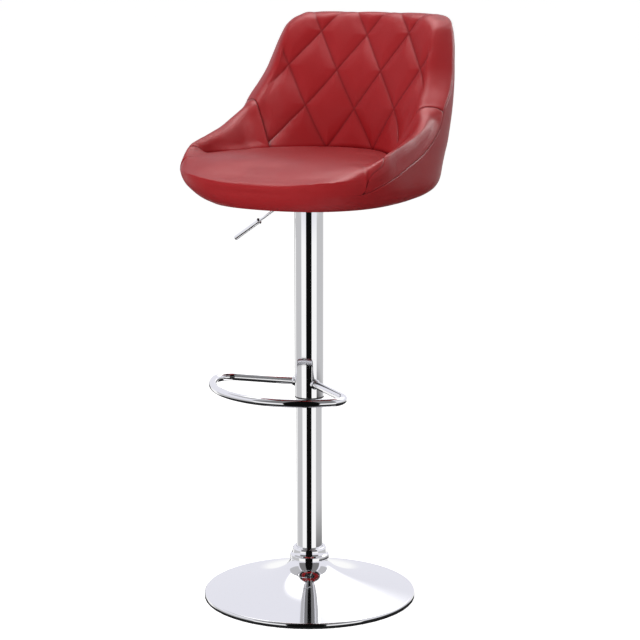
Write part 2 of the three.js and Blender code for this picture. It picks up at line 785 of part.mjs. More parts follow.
function seatBolt([x, y]) {
  const top = boltHeadTop + boltLength;
  return turned([
    [0, boltHeadTop - boltHeadHeight], [boltHeadRadius * 0.8, boltHeadTop - boltHeadHeight],
    [boltHeadRadius, boltHeadTop - boltHeadHeight / 2], [boltHeadRadius, boltHeadTop],
    [boltRadius, boltHeadTop], [boltRadius, top - fit], [boltRadius - fit, top], [0, top],
  ], 12).translate(x, y, 0);
}

function teeNut([x, y]) {
  const bottom = boardTop + fit;
  return turned([
    [boltRadius + fit, bottom - nutBarrelLength], [nutBarrelRadius, bottom - nutBarrelLength],
    [nutBarrelRadius, bottom], [nutFlangeRadius, bottom], [nutFlangeRadius, bottom + nutFlange],
    [boltRadius + fit, bottom + nutFlange],
  ], 12).translate(x, y, 0);
}

boltPlaces.forEach((place, i) => {
  add(`seat_bolt_${i + 1}`, seatBolt(place), "steel");
  add(`tee_nut_${i + 1}`, teeNut(place), "steel");
});

const cloth = rod(shellHoleRadius - 2 * softGap, clothBottom, clothBottom + clothThickness, 40);
add("bottom_cloth", cut(cloth, ...holesAt(boltPlaces, boltRadius + fit, clothBottom, boardBottom)), "cloth");

// Seat form: where the outline lies in a direction (degrees from the rear) and at a height
const seatRise = seatTop - seatBottom;
const heightAt = (share) => seatBottom + seatRise * share;
const radians = (angle) => THREE.MathUtils.degToRad(angle);

function outline(angle, z) {
  const share = (z - seatBottom) / seatRise;
  const front = Math.abs(angle) > 90;
  const width = seatHalfWidth * lookup(outlineShares, share, 1);
  const depth = front
    ? seatFront * lookup(outlineShares, share, 2)
    : seatRear * lookup(outlineShares, share, 3);
  const power = lookup(outlineShares, share, front ? 4 : 5);
  const across = Math.abs(Math.sin(radians(angle))) / width;
  const along = Math.abs(Math.cos(radians(angle))) / depth;
  return (across ** power + along ** power) ** (-1 / power);
}

const seamHeight = (angle) => heightAt(lookup(seamShares, Math.abs(angle)));
const crestHeight = (angle) => heightAt(lookup(crestShares, Math.abs(angle)));

function creaseRadius(angle) {
  const turn = Math.abs(angle);
  if (turn <= armEndAngle) return faceRadius(turn, seatLevel);
  return THREE.MathUtils.lerp(faceRadius(turn, seatLevel), armFoot(angle), armBlend(turn));
}

function armFoot(angle) {
  const radius = outline(angle, seatLevel) * lookup(creaseShares, Math.abs(angle));
  return Math.min(radius, outline(angle, seamHeight(angle)) - padTip);
}

const armBlend = (turn) => THREE.MathUtils.smoothstep(turn, armEndAngle, armEndAngle + armBlendAngle);

const padRoll = (angle) =>
  THREE.MathUtils.lerp(topRoll, tipRoll, THREE.MathUtils.smoothstep(Math.abs(angle), ...tipRollAngles));

// Heights of a pad in one direction: where its face begins and where its crease side begins to lean in.
const padLow = (angle) =>
  Math.min(seatLevel, Math.max(crestHeight(angle) - padRoll(angle), seamHeight(angle) + fit));
const leanHeight = (angle) => Math.min(padLow(angle) - leanDrop, seatLevel - topRoll);
const rootHeight = (angle) => THREE.MathUtils.lerp(padBottom, leanHeight(angle), 0.5);
const rootRadius = (angle) =>
  Math.min(creaseRadius(angle), outline(angle, padBottom) - shellWall - softGap - padRoot);

// Where the padded front face of the back lies, from its setback and its curve across.
function faceRadius(angle, z) {
  const share = (z - seatBottom) / seatRise;
  const reach = seatRear * lookup(faceShares, share, 1);
  const bend = lookup(faceShares, share, 2) / seatRear;
  const s = Math.sin(radians(angle));
  const c = Math.cos(radians(angle));
  const curve = bend * s * s * 1.5;
  if (curve < 1e-9) return reach / c;
  return (-c + Math.sqrt(c * c + 4 * curve * reach)) / (2 * curve);
}

const at = (angle, radius, z) =>
  new THREE.Vector3(Math.sin(radians(angle)) * radius, Math.cos(radians(angle)) * radius, z);

// Directions in which the seat is drawn, closer together round the corners.
const halfDirections = [
  9, 17, 24, 30, 35, 38.5, 41.5, 44.5, 48, 52, 56, armEndAngle, 65, 70, 76, 84, 92, 99, 105, 110, 115,
  119, 122.5, armTipAngle, 130, 134, 138, 143, 150, 160, 170,
];
const directions = [-180, ...halfDirections.map((angle) => -angle).reverse(), 0, ...halfDirections];

// Outer shell: a bucket with a floor, open inside, whose rim follows the outer seam
const shellLevelShares = [0, 0.1, 0.22, 0.36, 0.52, 0.68, 0.84, 1];

function seatShell(grow = 0) {
  const rings = directions.map((angle) => {
    const rim = seamHeight(angle);
    const levels = shellLevelShares.map((share) => THREE.MathUtils.lerp(heightAt(0.023), rim, share));
    const bottom = seatBottom - grow;
    const floor = seatBottom + shellFloor + grow;
    const floorEdge = outline(angle, seatBottom + shellFloor) - shellWall - grow;
    const hole = shellHoleRadius - grow;
    const outer = levels.map((z, i) => at(angle, outline(angle, z) + grow, i === levels.length - 1 ? z + grow : z));
    const inner = levels.slice(1).reverse().map((z, i) =>
      at(angle, outline(angle, z) - shellWall - grow, i === 0 ? z + grow : z));
    return [
      at(angle, hole, bottom), at(angle, outline(angle, seatBottom) + grow, bottom), ...outer, ...inner,
      at(angle, floorEdge, floor), at(angle, hole, floor),
    ];
  });
  return lofted(rings, false);
}

add("seat_shell", seatShell(), "vinyl");

// Plywood board on the shell's floor, trimmed to the inside of the shell
function seatBoard() {
  const ring = (z) => directions.map((angle) => at(angle, outline(angle, boardBottom) - shellWall - 2 * softGap, z));
  return cut(lofted([ring(boardBottom), ring(boardTop)]),
    ...holesAt(boltPlaces, nutBarrelRadius + fit, boardBottom, boardTop));
}

add("seat_board", seatBoard(), "wood");

const shellCutter = seatShell(softGap);
const padBottom = boardTop + nutFlange + 3 * fit;

// Cushion: crowned top, waterfall front, sides drawn in to the crease
function cushionTop(angle, radius) {
  const forward = Math.max(0, -Math.cos(radians(angle)) * radius - waterfallStart);
  const span = seatFront - waterfallStart;
  const share = radius / outline(angle, seatLevel);
  return seatLevel + seatCrown * (1 - share * share) - waterfall * (forward / span) ** 2;
}

function seatCushion() {
  const columns = directions
    .map((angle) => (Math.abs(angle) > armTipAngle ? frontColumn(angle) : sideColumn(angle)));
  const solid = toSolid(tented(columns, cushionTop(180, 0), padBottom));
  return toGeometry(mainBody(solid.subtract(toSolid(shellCutter))));
}

function rolledEdge(angle, edge, roll) {
  const top = cushionTop(angle, edge - roll);
  return [
    at(angle, edge * 0.35, cushionTop(angle, edge * 0.35)),
    at(angle, edge * 0.7, cushionTop(angle, edge * 0.7)),
    at(angle, edge - roll, top),
    at(angle, edge - roll * 0.55, top - roll * 0.1),
    at(angle, edge - roll * 0.2, top - roll * 0.34),
    at(angle, edge - roll * 0.02, top - roll * 0.7),
  ];
}

function sideColumn(angle) {
  const edge = creaseRadius(angle) - softGap;
  const root = rootRadius(angle) - softGap;
  const widening = THREE.MathUtils.smoothstep(Math.abs(angle), armTipAngle - armBlendAngle, armTipAngle);
  return [
    ...rolledEdge(angle, edge, cushionRoll * THREE.MathUtils.lerp(footRollShare, 1, widening)),
    at(angle, edge, leanHeight(angle)),
    at(angle, root, rootHeight(angle)),
    at(angle, root, THREE.MathUtils.lerp(padBottom, rootHeight(angle), 0.5)),
    at(angle, root, padBottom),
  ];
}

function frontColumn(angle) {
  const crease = seamHeight(angle) + softGap;
  const edge = outline(angle, crease + cushionRoll);
  const inside = (z) => outline(angle, z) - shellWall - 2 * softGap;
  return [
    ...rolledEdge(angle, edge, cushionRoll),
    at(angle, outline(angle, crease) - softGap, crease),
    at(angle, inside(crease), crease - fit),
    at(angle, inside(crease), crease - shellWall / 2),
    at(angle, inside(padBottom), padBottom),
  ];
}

// Rings by direction with a point in the middle of the top and of the bottom.
function tented(columns, topHeight, bottomHeight) {
  const rows = columns[0].length;
  const points = columns.flat();
  const top = points.push(new THREE.Vector3(0, 0, topHeight)) - 1;
  const bottom = points.push(new THREE.Vector3(0, 0, bottomHeight)) - 1;
  const faces = [];
  columns.forEach((column, i) => {
    const next = (i + 1) % columns.length;
    faces.push(top, next * rows, i * rows);
    faces.push(bottom, i * rows + rows - 1, next * rows + rows - 1);
    for (let k = 0; k < rows - 1; k += 1) {
      faces.push(i * rows + k, next * rows + k, next * rows + k + 1);
      faces.push(i * rows + k, next * rows + k + 1, i * rows + k + 1);
    }
  });
  return skin(points, faces);
}

add("seat_cushion", seatCushion(), "vinyl");

// Back and arm pads: one section that runs from the crease up the face, over the crest, down to the
// outer seam and on to a root inside the shell.
const rollShares = [[0.1, 0.4], [0.26, 0.76], [0.48, 0.98], [0.72, 0.94]];
const sideShares = [[0.93, 0.7], [1, 0.4]];

function padSection(angle, rows, relief) {
  const seam = seamHeight(angle);
  const crest = crestHeight(angle);
  const outer = outline(angle, seam);
  const low = padLow(angle);
  const roll = Math.min(padRoll(angle), (crest - low) / 2);
  const faceTop = crest - roll;
  const faceEnd = faceAt(angle, faceTop, low, crest);
  const points = [];
  for (let i = 0; i <= rows; i += 1) {
    const z = THREE.MathUtils.lerp(low, faceTop, i / rows);
    points.push([faceAt(angle, z, low, crest) + relief(angle, z), z]);
  }
  for (const [across, rise] of rollShares) {
    const z = faceTop + roll * rise;
    points.push([THREE.MathUtils.lerp(faceEnd, outer, across) + relief(angle, z) * (1 - across), z]);
  }
  for (const [across, rise] of sideShares) {
    const z = THREE.MathUtils.lerp(seam, crest, rise);
    points.push([THREE.MathUtils.lerp(faceEnd, outline(angle, z), across), z]);
  }
  points.push([outer, seam - fit]);
  points.push([outer - shellWall / 2, seam - shellWall / 2]);
  for (const share of rootShares) {
    const z = THREE.MathUtils.lerp(seam - shellWall, padBottom, share);
    points.push([outline(angle, z) - shellWall / 2, z]);
  }
  points.push([rootRadius(angle), padBottom]);
  points.push([rootRadius(angle), rootHeight(angle)]);
  points.push([creaseRadius(angle), leanHeight(angle)]);
  return points.map(([radius, z]) => at(angle, radius, z));
}

const rootShares = [0, 0.35, 0.7, 1];

// Face of the pads: the back's own face behind, and on the arms a hollow sweep from crease to crest.
function faceAt(angle, z, low, crest) {
  const turn = Math.abs(angle);
  const back = faceRadius(turn, z);
  if (turn <= armEndAngle) return back;
  const foot = armFoot(angle);
  const top = Math.max(foot, outline(angle, crest) - topRoll);
  const share = (z - low) / (crest - low);
  const arm = THREE.MathUtils.lerp(foot, top, share ** 0.8);
  return THREE.MathUtils.lerp(Math.min(back, top), arm, armBlend(turn));
}

// Quilting: sewn channels in two slanting families that cross in rows, fading out at the sides
function quilting(angle, z) {
  const x = Math.sin(radians(angle)) * faceRadius(angle, z);
  const above = z - seatLevel;
  const bow = quiltBow * (x / quiltBowReach) ** 2 * Math.min(1, above / quiltRise);
  const climb = (above - bow) / quiltRise;
  const nearest = (value) => Math.abs((((value % 2) + 2) % 2) - 1);
  const perUnit = 1 / Math.hypot(1 / quiltPitch, 1 / quiltRise);
  const distance = perUnit * Math.min(nearest(x / quiltPitch + climb), nearest(x / quiltPitch - climb));
  const fade = 1 - THREE.MathUtils.smoothstep(Math.abs(x), quiltEdge - quiltFade, quiltEdge);
  return quiltDepth * fade * Math.exp(-((distance / seamWidth) ** 2));
}

function padFrom(angles, rows, relief) {
  const block = toSolid(lofted(angles.map((angle) => padSection(angle, rows, relief))));
  return toGeometry(mainBody(block.subtract(toSolid(shellCutter))));
}

const seamAngle = THREE.MathUtils.radToDeg(softGap / 2 / seatHalfWidth);

function spread(from, to, count) {
  return Array.from({ length: count + 1 }, (_, i) => THREE.MathUtils.lerp(from, to, i / count));
}

const backAngles = spread(-armEndAngle + seamAngle, armEndAngle - seamAngle, 34);
const armAngles = [armEndAngle + seamAngle, ...directions.filter((d) => d > armEndAngle && d < armTipAngle), armTipAngle];

add("back_pad", padFrom(backAngles, 14, quilting), "vinyl");
add("arm_pad_left", padFrom(armAngles, 4, () => 0), "vinyl");
add("arm_pad_right", padFrom(armAngles.map((angle) => -angle), 4, () => 0), "vinyl");

export default stool;
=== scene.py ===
import json
import math
import bpy
import numpy as np
from mathutils import Matrix, Vector, kdtree


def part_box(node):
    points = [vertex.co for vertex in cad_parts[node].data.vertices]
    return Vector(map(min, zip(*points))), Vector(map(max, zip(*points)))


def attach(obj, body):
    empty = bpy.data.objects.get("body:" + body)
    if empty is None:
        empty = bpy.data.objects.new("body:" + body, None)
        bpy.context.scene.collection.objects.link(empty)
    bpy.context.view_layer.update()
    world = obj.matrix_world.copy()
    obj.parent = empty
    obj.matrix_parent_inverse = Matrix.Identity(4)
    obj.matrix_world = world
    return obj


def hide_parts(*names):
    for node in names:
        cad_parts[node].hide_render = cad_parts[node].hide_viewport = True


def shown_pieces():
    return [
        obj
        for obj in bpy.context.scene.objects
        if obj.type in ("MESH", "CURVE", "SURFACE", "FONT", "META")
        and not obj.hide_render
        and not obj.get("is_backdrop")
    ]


# Dressing of the swivel bar stool. Lengths are millimetres unless a note says otherwise, heights
# count from the floor, and turns are degrees round the column, from 0 behind the sitter to 180 in
# front. The sitter faces -Y and has +X on the left.
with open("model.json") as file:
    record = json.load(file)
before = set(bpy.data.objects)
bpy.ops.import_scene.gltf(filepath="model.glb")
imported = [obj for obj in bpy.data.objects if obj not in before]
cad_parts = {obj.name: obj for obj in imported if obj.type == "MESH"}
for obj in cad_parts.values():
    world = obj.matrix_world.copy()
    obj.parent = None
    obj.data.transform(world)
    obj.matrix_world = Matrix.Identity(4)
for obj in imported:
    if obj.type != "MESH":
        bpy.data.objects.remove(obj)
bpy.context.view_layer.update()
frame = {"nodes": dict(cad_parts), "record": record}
mm = 0.001
low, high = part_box("column_tube")
axisY = (low.y + high.y) / 2  # the column stands here, the origin lies under the stool's middle
print("frame loaded, column at y", round(axisY, 4))


def nothingSelected():
    bpy.ops.object.select_all(action="DESELECT")


def pick(piece):
    nothingSelected()
    piece.select_set(True)
    bpy.context.view_layer.objects.active = piece


def smoothUnder(piece, angle=35):
    pick(piece)
    bpy.ops.object.shade_smooth_by_angle(angle=math.radians(angle))
    return piece


def outwardFaces(piece, merge=0):
    # doubled points closer than the merge go first
    pick(piece)
    bpy.ops.object.mode_set(mode="EDIT")
    bpy.ops.mesh.select_all(action="SELECT")
    if merge:
        bpy.ops.mesh.remove_doubles(threshold=merge * mm)
    bpy.ops.mesh.normals_make_consistent(inside=False)
    bpy.ops.object.mode_set(mode="OBJECT")


# ---- camera

camera = {
    "lens": 110.0, "sensor": 36.0, "sight": 50.0,  # the sight in metres
    "place": (1844.6, -3154.3, 1239.0),  # from the column's foot
    "turn": 30.0, "tilt": -10.77,
}


def setCamera():
    x, y, z = camera["place"]
    bpy.ops.object.camera_add(
        location=(x * mm, y * mm + axisY, z * mm),
        rotation=(math.radians(90 + camera["tilt"]), 0, math.radians(camera["turn"])))
    eye = bpy.context.object
    eye.name = "viewCamera"
    eye.data.lens, eye.data.sensor_width = camera["lens"], camera["sensor"]
    eye.data.clip_end = camera["sight"]
    bpy.context.scene.camera = eye


setCamera()


# ---- materials

white = (1, 1, 1, 1)
finishes = {}


def emptyTree(owner):
    owner.use_nodes = True
    owner.node_tree.nodes.clear()
    return owner.node_tree


def socketOf(sockets, key):
    return sockets[int(key) if key.isdigit() else key]


def addNode(tree, kind, values):
    # a value goes to the node's own property, or else to its input of that name or number
    node = tree.nodes.new(kind if kind.startswith("Node") else "ShaderNode" + kind)
    for key, value in values.items():
        if hasattr(node, key):
            setattr(node, key, value)
        else:
            socketOf(node.inputs, key).default_value = value
    return node


def wired(tree, nodes, *links):
    # nodes by name, as kind and values, and links as "node.output > node.input"
    made = {name: addNode(tree, kind, values) for name, (kind, values) in nodes.items()}
    for link in links:
        (source, output), (target, entry) = (end.split(".") for end in link.split(" > "))
        tree.links.new(socketOf(made[source].outputs, output), socketOf(made[target].inputs, entry))
    return made


def newGroup(name, inputs, outputs):
    group = bpy.data.node_groups.new(name, "ShaderNodeTree")
    for labels, way in ((inputs, "INPUT"), (outputs, "OUTPUT")):
        for label in labels:
            group.interface.new_socket(name=label, in_out=way, socket_type="NodeSocketFloat")
    return group


def newMaterial(name, constants, nodes, *links):
    material = bpy.data.materials.new(name)
    ends = {"shader": ("BsdfPrincipled", constants), "output": ("OutputMaterial", {})}
    wired(emptyTree(material), {**ends, **nodes}, "shader.BSDF > output.Surface", *links)
    finishes[name] = material


# faint scratches and finger haze: a roughness and a height that vary over the surface
handlingMarks = newGroup("handlingMarks", ("Base Roughness", "Haze", "Haze Scale", "Scratch Scale"),
                         ("Roughness", "Height"))
wired(handlingMarks, {
    "given": ("NodeGroupInput", {}), "result": ("NodeGroupOutput", {}), "place": ("TexCoord", {}),
    "haze": ("TexNoise", {"Detail": 4.0, "Roughness": 0.6}),
    "streaks": ("TexNoise", {"Detail": 2.0, "Roughness": 0.5, "Distortion": 1.5}),
    "soften": ("MapRange", {"From Min": 0.42, "From Max": 0.72}),
    "spread": ("Math", {"operation": "MULTIPLY"}), "total": ("Math", {"operation": "ADD"}),
}, "place.Object > haze.Vector", "place.Object > streaks.Vector", "given.Haze Scale > haze.Scale",
    "given.Scratch Scale > streaks.Scale", "haze.Fac > soften.Value", "soften.Result > spread.0",
    "given.Haze > spread.1", "spread.Value > total.0", "given.Base Roughness > total.1",
    "total.Value > result.Roughness", "streaks.Fac > result.Height")

# embossed leather grain: small pebbles between fine creases, and broad unevenness
vinylGrain = newGroup("vinylGrain", (), ("Height", "Creases", "Broad"))
wired(vinylGrain, {
    "result": ("NodeGroupOutput", {}), "place": ("TexCoord", {}),
    "warp": ("TexNoise", {"Scale": 220.0, "Detail": 1.0}),
    "shift": ("VectorMath", {"operation": "MULTIPLY_ADD", "1": (0.0012, 0.0012, 0.0012)}),
    "pebbles": ("TexVoronoi", {"feature": "DISTANCE_TO_EDGE", "Scale": 700.0}),
    "rounded": ("MapRange", {"interpolation_type": "SMOOTHSTEP", "From Max": 0.22}),
    "broad": ("TexNoise", {"Scale": 14.0, "Detail": 3.0, "Roughness": 0.55}),
    "flip": ("Math", {"operation": "SUBTRACT", "0": 1.0}),
}, "place.Object > warp.Vector", "warp.Color > shift.0", "place.Object > shift.2",
    "place.Object > broad.Vector", "shift.Vector > pebbles.Vector",
    "pebbles.Distance > rounded.Value", "rounded.Result > result.Height", "rounded.Result > flip.1",
    "flip.Value > result.Creases", "broad.Fac > result.Broad")

# colour, metallic, specular level, roughness, haze and its scale, scale and depth of the scratches
marked = {
    "polishedChrome": ((0.93, 0.93, 0.94), 1, 0.5, 0.035, 0.04, 11, 300, 0),
    "zincSteel": ((0.52, 0.53, 0.55), 1, 0.5, 0.3, 0.15, 60, 900, 0.02),
    "blackPaint": ((0.018, 0.018, 0.02), 0, 0.5, 0.38, 0.2, 30, 1400, 0.05),
    "mouldedPlastic": ((0.022, 0.022, 0.025), 0, 0.5, 0.5, 0.12, 45, 1800, 0.03),
    "floorRubber": ((0.016, 0.016, 0.017), 0, 0.3, 0.78, 0.15, 50, 1200, 0.08),
}
for name, (colour, metal, specular, roughness, haze, hazeScale, scale, depth) in marked.items():
    nodes = {"marks": ("Group", {
        "node_tree": handlingMarks, "Base Roughness": roughness, "Haze": haze,
        "Haze Scale": hazeScale, "Scratch Scale": scale})}
    links = ["marks.Roughness > shader.Roughness"]
    if depth:
        nodes["bump"] = ("Bump", {"Distance": depth * mm, "Strength": 0.5})
        links += ["marks.Height > bump.Height", "bump.Normal > shader.Normal"]
    constants = {"Base Color": (*colour, 1), "Metallic": metal, "Specular IOR Level": specular}
    newMaterial(name, constants, nodes, *links)

vinylLook = {
    "colour": (0.29, 0.0095, 0.012, 1),
    "worn": (0.31, 0.012, 0.015, 1),  # mixed in at random by the broad unevenness of the grain
    # painted shade: the dark that creases, seams and hidden sides are painted with; the grain's
    # pores take a little of it too
    "crease": (0.13, 0.003, 0.005, 1),
    "smoothest": 0.33, "roughest": 0.47, "grainDepth": 0.09, "broadDepth": 1.2,
}
# the fold attribute mixes painted shade into the colour along creases and seams
newMaterial("redVinyl", {"Specular IOR Level": 0.2}, {
    "grain": ("Group", {"node_tree": vinylGrain}),
    "fold": ("Attribute", {"attribute_name": "fold"}),
    "uneven": ("MapRange", {"From Min": 0.35, "From Max": 0.7}),
    "base": ("Mix", {"data_type": "RGBA", "A": vinylLook["colour"], "B": vinylLook["worn"]}),
    "pores": ("Mix", {"data_type": "RGBA", "B": vinylLook["crease"]}),
    "poreShare": ("Math", {"operation": "MULTIPLY", "1": 0.22}),
    "folded": ("Mix", {"data_type": "RGBA", "B": vinylLook["crease"]}),
    "gloss": ("MapRange", {"To Min": vinylLook["smoothest"], "To Max": vinylLook["roughest"]}),
    "fine": ("Bump", {"Distance": vinylLook["grainDepth"] * mm, "Strength": 0.6}),
    "wide": ("Bump", {"Distance": vinylLook["broadDepth"] * mm, "Strength": 0.35}),
}, "grain.Broad > uneven.Value", "uneven.Result > base.Factor", "grain.Creases > poreShare.0",
    "poreShare.Value > pores.Factor", "base.Result > pores.A", "fold.Fac > folded.Factor",
    "pores.Result > folded.A", "folded.Result > shader.Base Color", "grain.Broad > gloss.Value",
    "gloss.Result > shader.Roughness", "grain.Broad > wide.Height", "grain.Height > fine.Height",
    "wide.Normal > fine.Normal", "fine.Normal > shader.Normal")

# texture and its values, how it is stretched, two tones, roughness, and depth of the relief
textured = {
    "seamThread": ("TexWave", {"Scale": 900.0, "Distortion": 1.0}, (1, 1, 1),
                   (0.42, 0.09, 0.09), (0.55, 0.17, 0.17), 0.55, 0),
    "rawPlywood": ("TexNoise", {"Scale": 3.0, "Detail": 6.0, "Distortion": 0.6}, (4, 40, 900),
                   (0.36, 0.22, 0.11), (0.6, 0.42, 0.25), 0.7, 0),
    "dustCloth": ("TexNoise", {"Scale": 600.0, "Detail": 5.0, "Distortion": 2.0}, (1, 1, 1),
                  (0.012, 0.012, 0.014), (0.035, 0.035, 0.038), 0.92, 0.2),
}
for name, (kind, values, stretch, dark, pale, roughness, depth) in textured.items():
    nodes = {
        "place": ("TexCoord", {}), "stretch": ("Mapping", {"Scale": stretch}),
        "texture": (kind, values),
        "tone": ("Mix", {"data_type": "RGBA", "A": (*dark, 1), "B": (*pale, 1)}),
    }
    links = ["place.Object > stretch.Vector", "stretch.Vector > texture.Vector",
             "texture.Fac > tone.Factor", "tone.Result > shader.Base Color"]
    if depth:
        nodes["bump"] = ("Bump", {"Distance": depth * mm, "Strength": 0.6})
        links += ["texture.Fac > bump.Height", "bump.Normal > shader.Normal"]
    newMaterial(name, {"Roughness": roughness}, nodes, *links)

cadFinish = {
    "chrome": "polishedChrome", "steel": "zincSteel", "black_steel": "blackPaint",
    "black_plastic": "mouldedPlastic", "rubber": "floorRubber", "plywood": "rawPlywood",
    "dust_cloth": "dustCloth", "red_vinyl": "redVinyl",
}
for entry in frame["record"]["subparts"]:
    materials = frame["nodes"][entry["node"]].data.materials
    materials.clear()
    materials.append(finishes[cadFinish[entry["material_slot"]]])


def dress(piece, slotName, body, *nodes, finish=None):
    piece.data.materials.clear()
    piece.data.materials.append(finishes[finish or cadFinish[slotName]])
    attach(piece, body)
    if nodes:
        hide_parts(*nodes)


print("materials made")


# ---- turned and bent metal

def turnedPiece(name, profile, sides):
    # each ring is pulled from the one before and resized about the column's axis
    nothingSelected()
    radius, height = profile[0]
    bpy.ops.mesh.primitive_circle_add(
        vertices=sides, radius=radius * mm, location=(0, axisY, height * mm))
    piece = bpy.context.object
    piece.name = name
    bpy.ops.object.mode_set(mode="EDIT")
    bpy.ops.mesh.select_all(action="SELECT")
    for (fromRadius, fromHeight), (toRadius, toHeight) in zip(profile, profile[1:]):
        bpy.ops.mesh.extrude_region_move(
            TRANSFORM_OT_translate={"value": (0, 0, (toHeight - fromHeight) * mm)})
        share = toRadius / fromRadius
        bpy.ops.transform.resize(value=(share, share, 1), center_override=(0, axisY, toHeight * mm))
    bpy.ops.mesh.select_all(action="DESELECT")
    bpy.ops.mesh.select_non_manifold()
    bpy.ops.mesh.bridge_edge_loops()
    bpy.ops.object.mode_set(mode="OBJECT")
    outwardFaces(piece)
    bpy.ops.object.transform_apply(location=True, rotation=True, scale=True)
    return smoothUnder(piece)


def laid(piece, place, turn):
    # a piece was turned upright about the column: now it lies elsewhere
    piece.data.transform(Matrix.Translation(place) @ turn @ Matrix.Translation((0, -axisY, 0)))


def filleted(points, radii, steps=5):
    # each corner that has a radius becomes a fillet
    smooth = []
    for i, point in enumerate(points):
        if i not in radii:
            smooth.append(point)
            continue
        a, b, c = (Vector(points[k % len(points)]) for k in (i - 1, i, i + 1))
        inward, outward = (a - b).normalized(), (c - b).normalized()
        reach = radii[i] / math.tan(inward.angle(outward) / 2)
        reach = min(reach, (a - b).length * 0.49, (c - b).length * 0.49)
        start, end = b + inward * reach, b + outward * reach
        for k in range(steps + 1):
            t = k / steps
            smooth.append(tuple(start * (1 - t) ** 2 + b * (2 * t * (1 - t)) + end * t ** 2))
    return smooth


def curveBetween(t, a, b, c, d):
    u = 1 - t
    return a * u ** 3 + 3 * b * u * u * t + 3 * c * u * t * t + d * t ** 3


def curvePoints(steps, *corners):
    return [tuple(curveBetween(i / steps, *numbers) for numbers in zip(*corners))
            for i in range(steps + 1)]


baseDish = {
    "rim": 204.5, "neck": 36.5, "neckHeight": 74.0, "rimHeight": 10.5, "sheet": 2.0, "lip": 2.5,
    "bends": ((40.9, 46.2), (110.4, 26.0)),  # the two pulls of the trumpet's curve
    "bore": 30.6, "sides": 160,
}


def makeBaseDish():
    d = baseDish
    rim, height, sheet, lip = d["rim"], d["rimHeight"], d["sheet"], d["lip"]
    top = curvePoints(44, (d["neck"], d["neckHeight"]), *d["bends"], (rim - 3.4, height))
    edge = curvePoints(10, top[-1], (rim - 1.4, height - 0.1), (rim, height - 1.9),
                       (rim, height - 4))
    edge += curvePoints(6, edge[-1], (rim, lip + 1.9), (rim - 0.4, lip + 0.4), (rim - 1.2, lip))[1:]
    # the sheet is thinned a little more in the steep part
    under = [(r - (0.6 if r < 60 else 0.15), z - sheet) for r, z in reversed(top[2:-1])]
    profile = [(d["bore"], d["neckHeight"]), *top, *edge[1:], (rim - sheet, lip),
               (rim - sheet, height - 3.4), *under, (d["neck"] - sheet, d["neckHeight"] - sheet),
               (d["bore"], d["neckHeight"] - sheet)]
    piece = turnedPiece("baseDish", profile, d["sides"])
    dress(piece, "chrome", "base", "base_disc")


makeBaseDish()

# profile as radius and height, fillets by corner, sides, then what dress takes
turned = {
    "columnPipe": (
        [(24.2, 14), (25, 74), (25, 470), (23.5, 470), (23.5, 74), (22.7, 17), (6, 17), (6, 14)],
        {2: 0.6, 3: 0.5}, 96, "chrome", "base", "column_tube"),
    "coverPipe": (
        [(28, 397), (28, 756), (26.5, 756), (26.5, 397)],
        {0: 0.6, 1: 0.6, 2: 0.5, 3: 0.5}, 96, "chrome", "seat", "cover_tube"),
    "collarCap": (
        [(37.5, 74.3), (37.5, 82.6), (34.2, 85.2), (33, 88.5), (32.6, 94.5), (30.6, 98.3),
         (25.3, 98.3), (25.3, 95.8), (29.3, 95.8), (30, 86), (34.8, 82), (35, 74.3)],
        {0: 0.5, 1: 2.2, 2: 1.2, 4: 1.4, 5: 1.6, 6: 0.6},
        96, "chrome", "base", "column_collar"),
    "gasPipe": (
        [(14, 375), (14, 702), (13, 762), (3.3, 762), (3.3, 757), (11.5, 757), (12.5, 702),
         (12.5, 375)],
        {0: 0.5, 2: 0.8}, 64, "black_steel", "seat", "gas_cylinder"),
}
for name, (profile, fillets, sides, *looks) in turned.items():
    dress(turnedPiece(name, filleted(profile, fillets), sides), *looks)
print("turned metal made")


def bentRod(name, path, radius, ringPoints):
    # a poly curve with a round bevel, turned into a mesh
    curve = bpy.data.curves.new(name, "CURVE")
    curve.dimensions, curve.twist_mode = "3D", "Z_UP"
    spline = curve.splines.new("POLY")
    spline.points.add(len(path) - 1)
    for point, (x, y, z) in zip(spline.points, path):
        point.co = (x * mm, y * mm + axisY, z * mm, 1)
    curve.bevel_depth, curve.bevel_resolution = radius * mm, ringPoints // 4 - 1
    curve.use_fill_caps = True
    piece = bpy.data.objects.new(name, curve)
    bpy.context.scene.collection.objects.link(piece)
    pick(piece)
    bpy.ops.object.convert(target="MESH")
    piece = bpy.context.object
    outwardFaces(piece, merge=0.01)
    return smoothUnder(piece, 50)


def arc(centre, radius, start, end, steps):
    # from straight down, counter-clockwise
    angles = (start + (end - start) * i / steps for i in range(steps + 1))
    return [centre + Vector((math.sin(a), -math.cos(a))) * radius for a in angles]


footLoop = {
    "height": 424.0, "tube": 7.5, "armAngle": 66.0, "turn": -11.6, "bow": 175.0, "setback": 14.0,
    "corner": 33.0, "start": 27.6, "bowSteps": 40, "cornerSteps": 24, "ringPoints": 28,
    # a short flared collar where each arm meets the cover pipe
    "collar": [(7.7, 26.4), (10, 26.4), (9.7, 29.2), (8.6, 32.6), (7.7, 33)],
    "collarFillets": {2: 1.2, 3: 0.8}, "collarSides": 48,
}


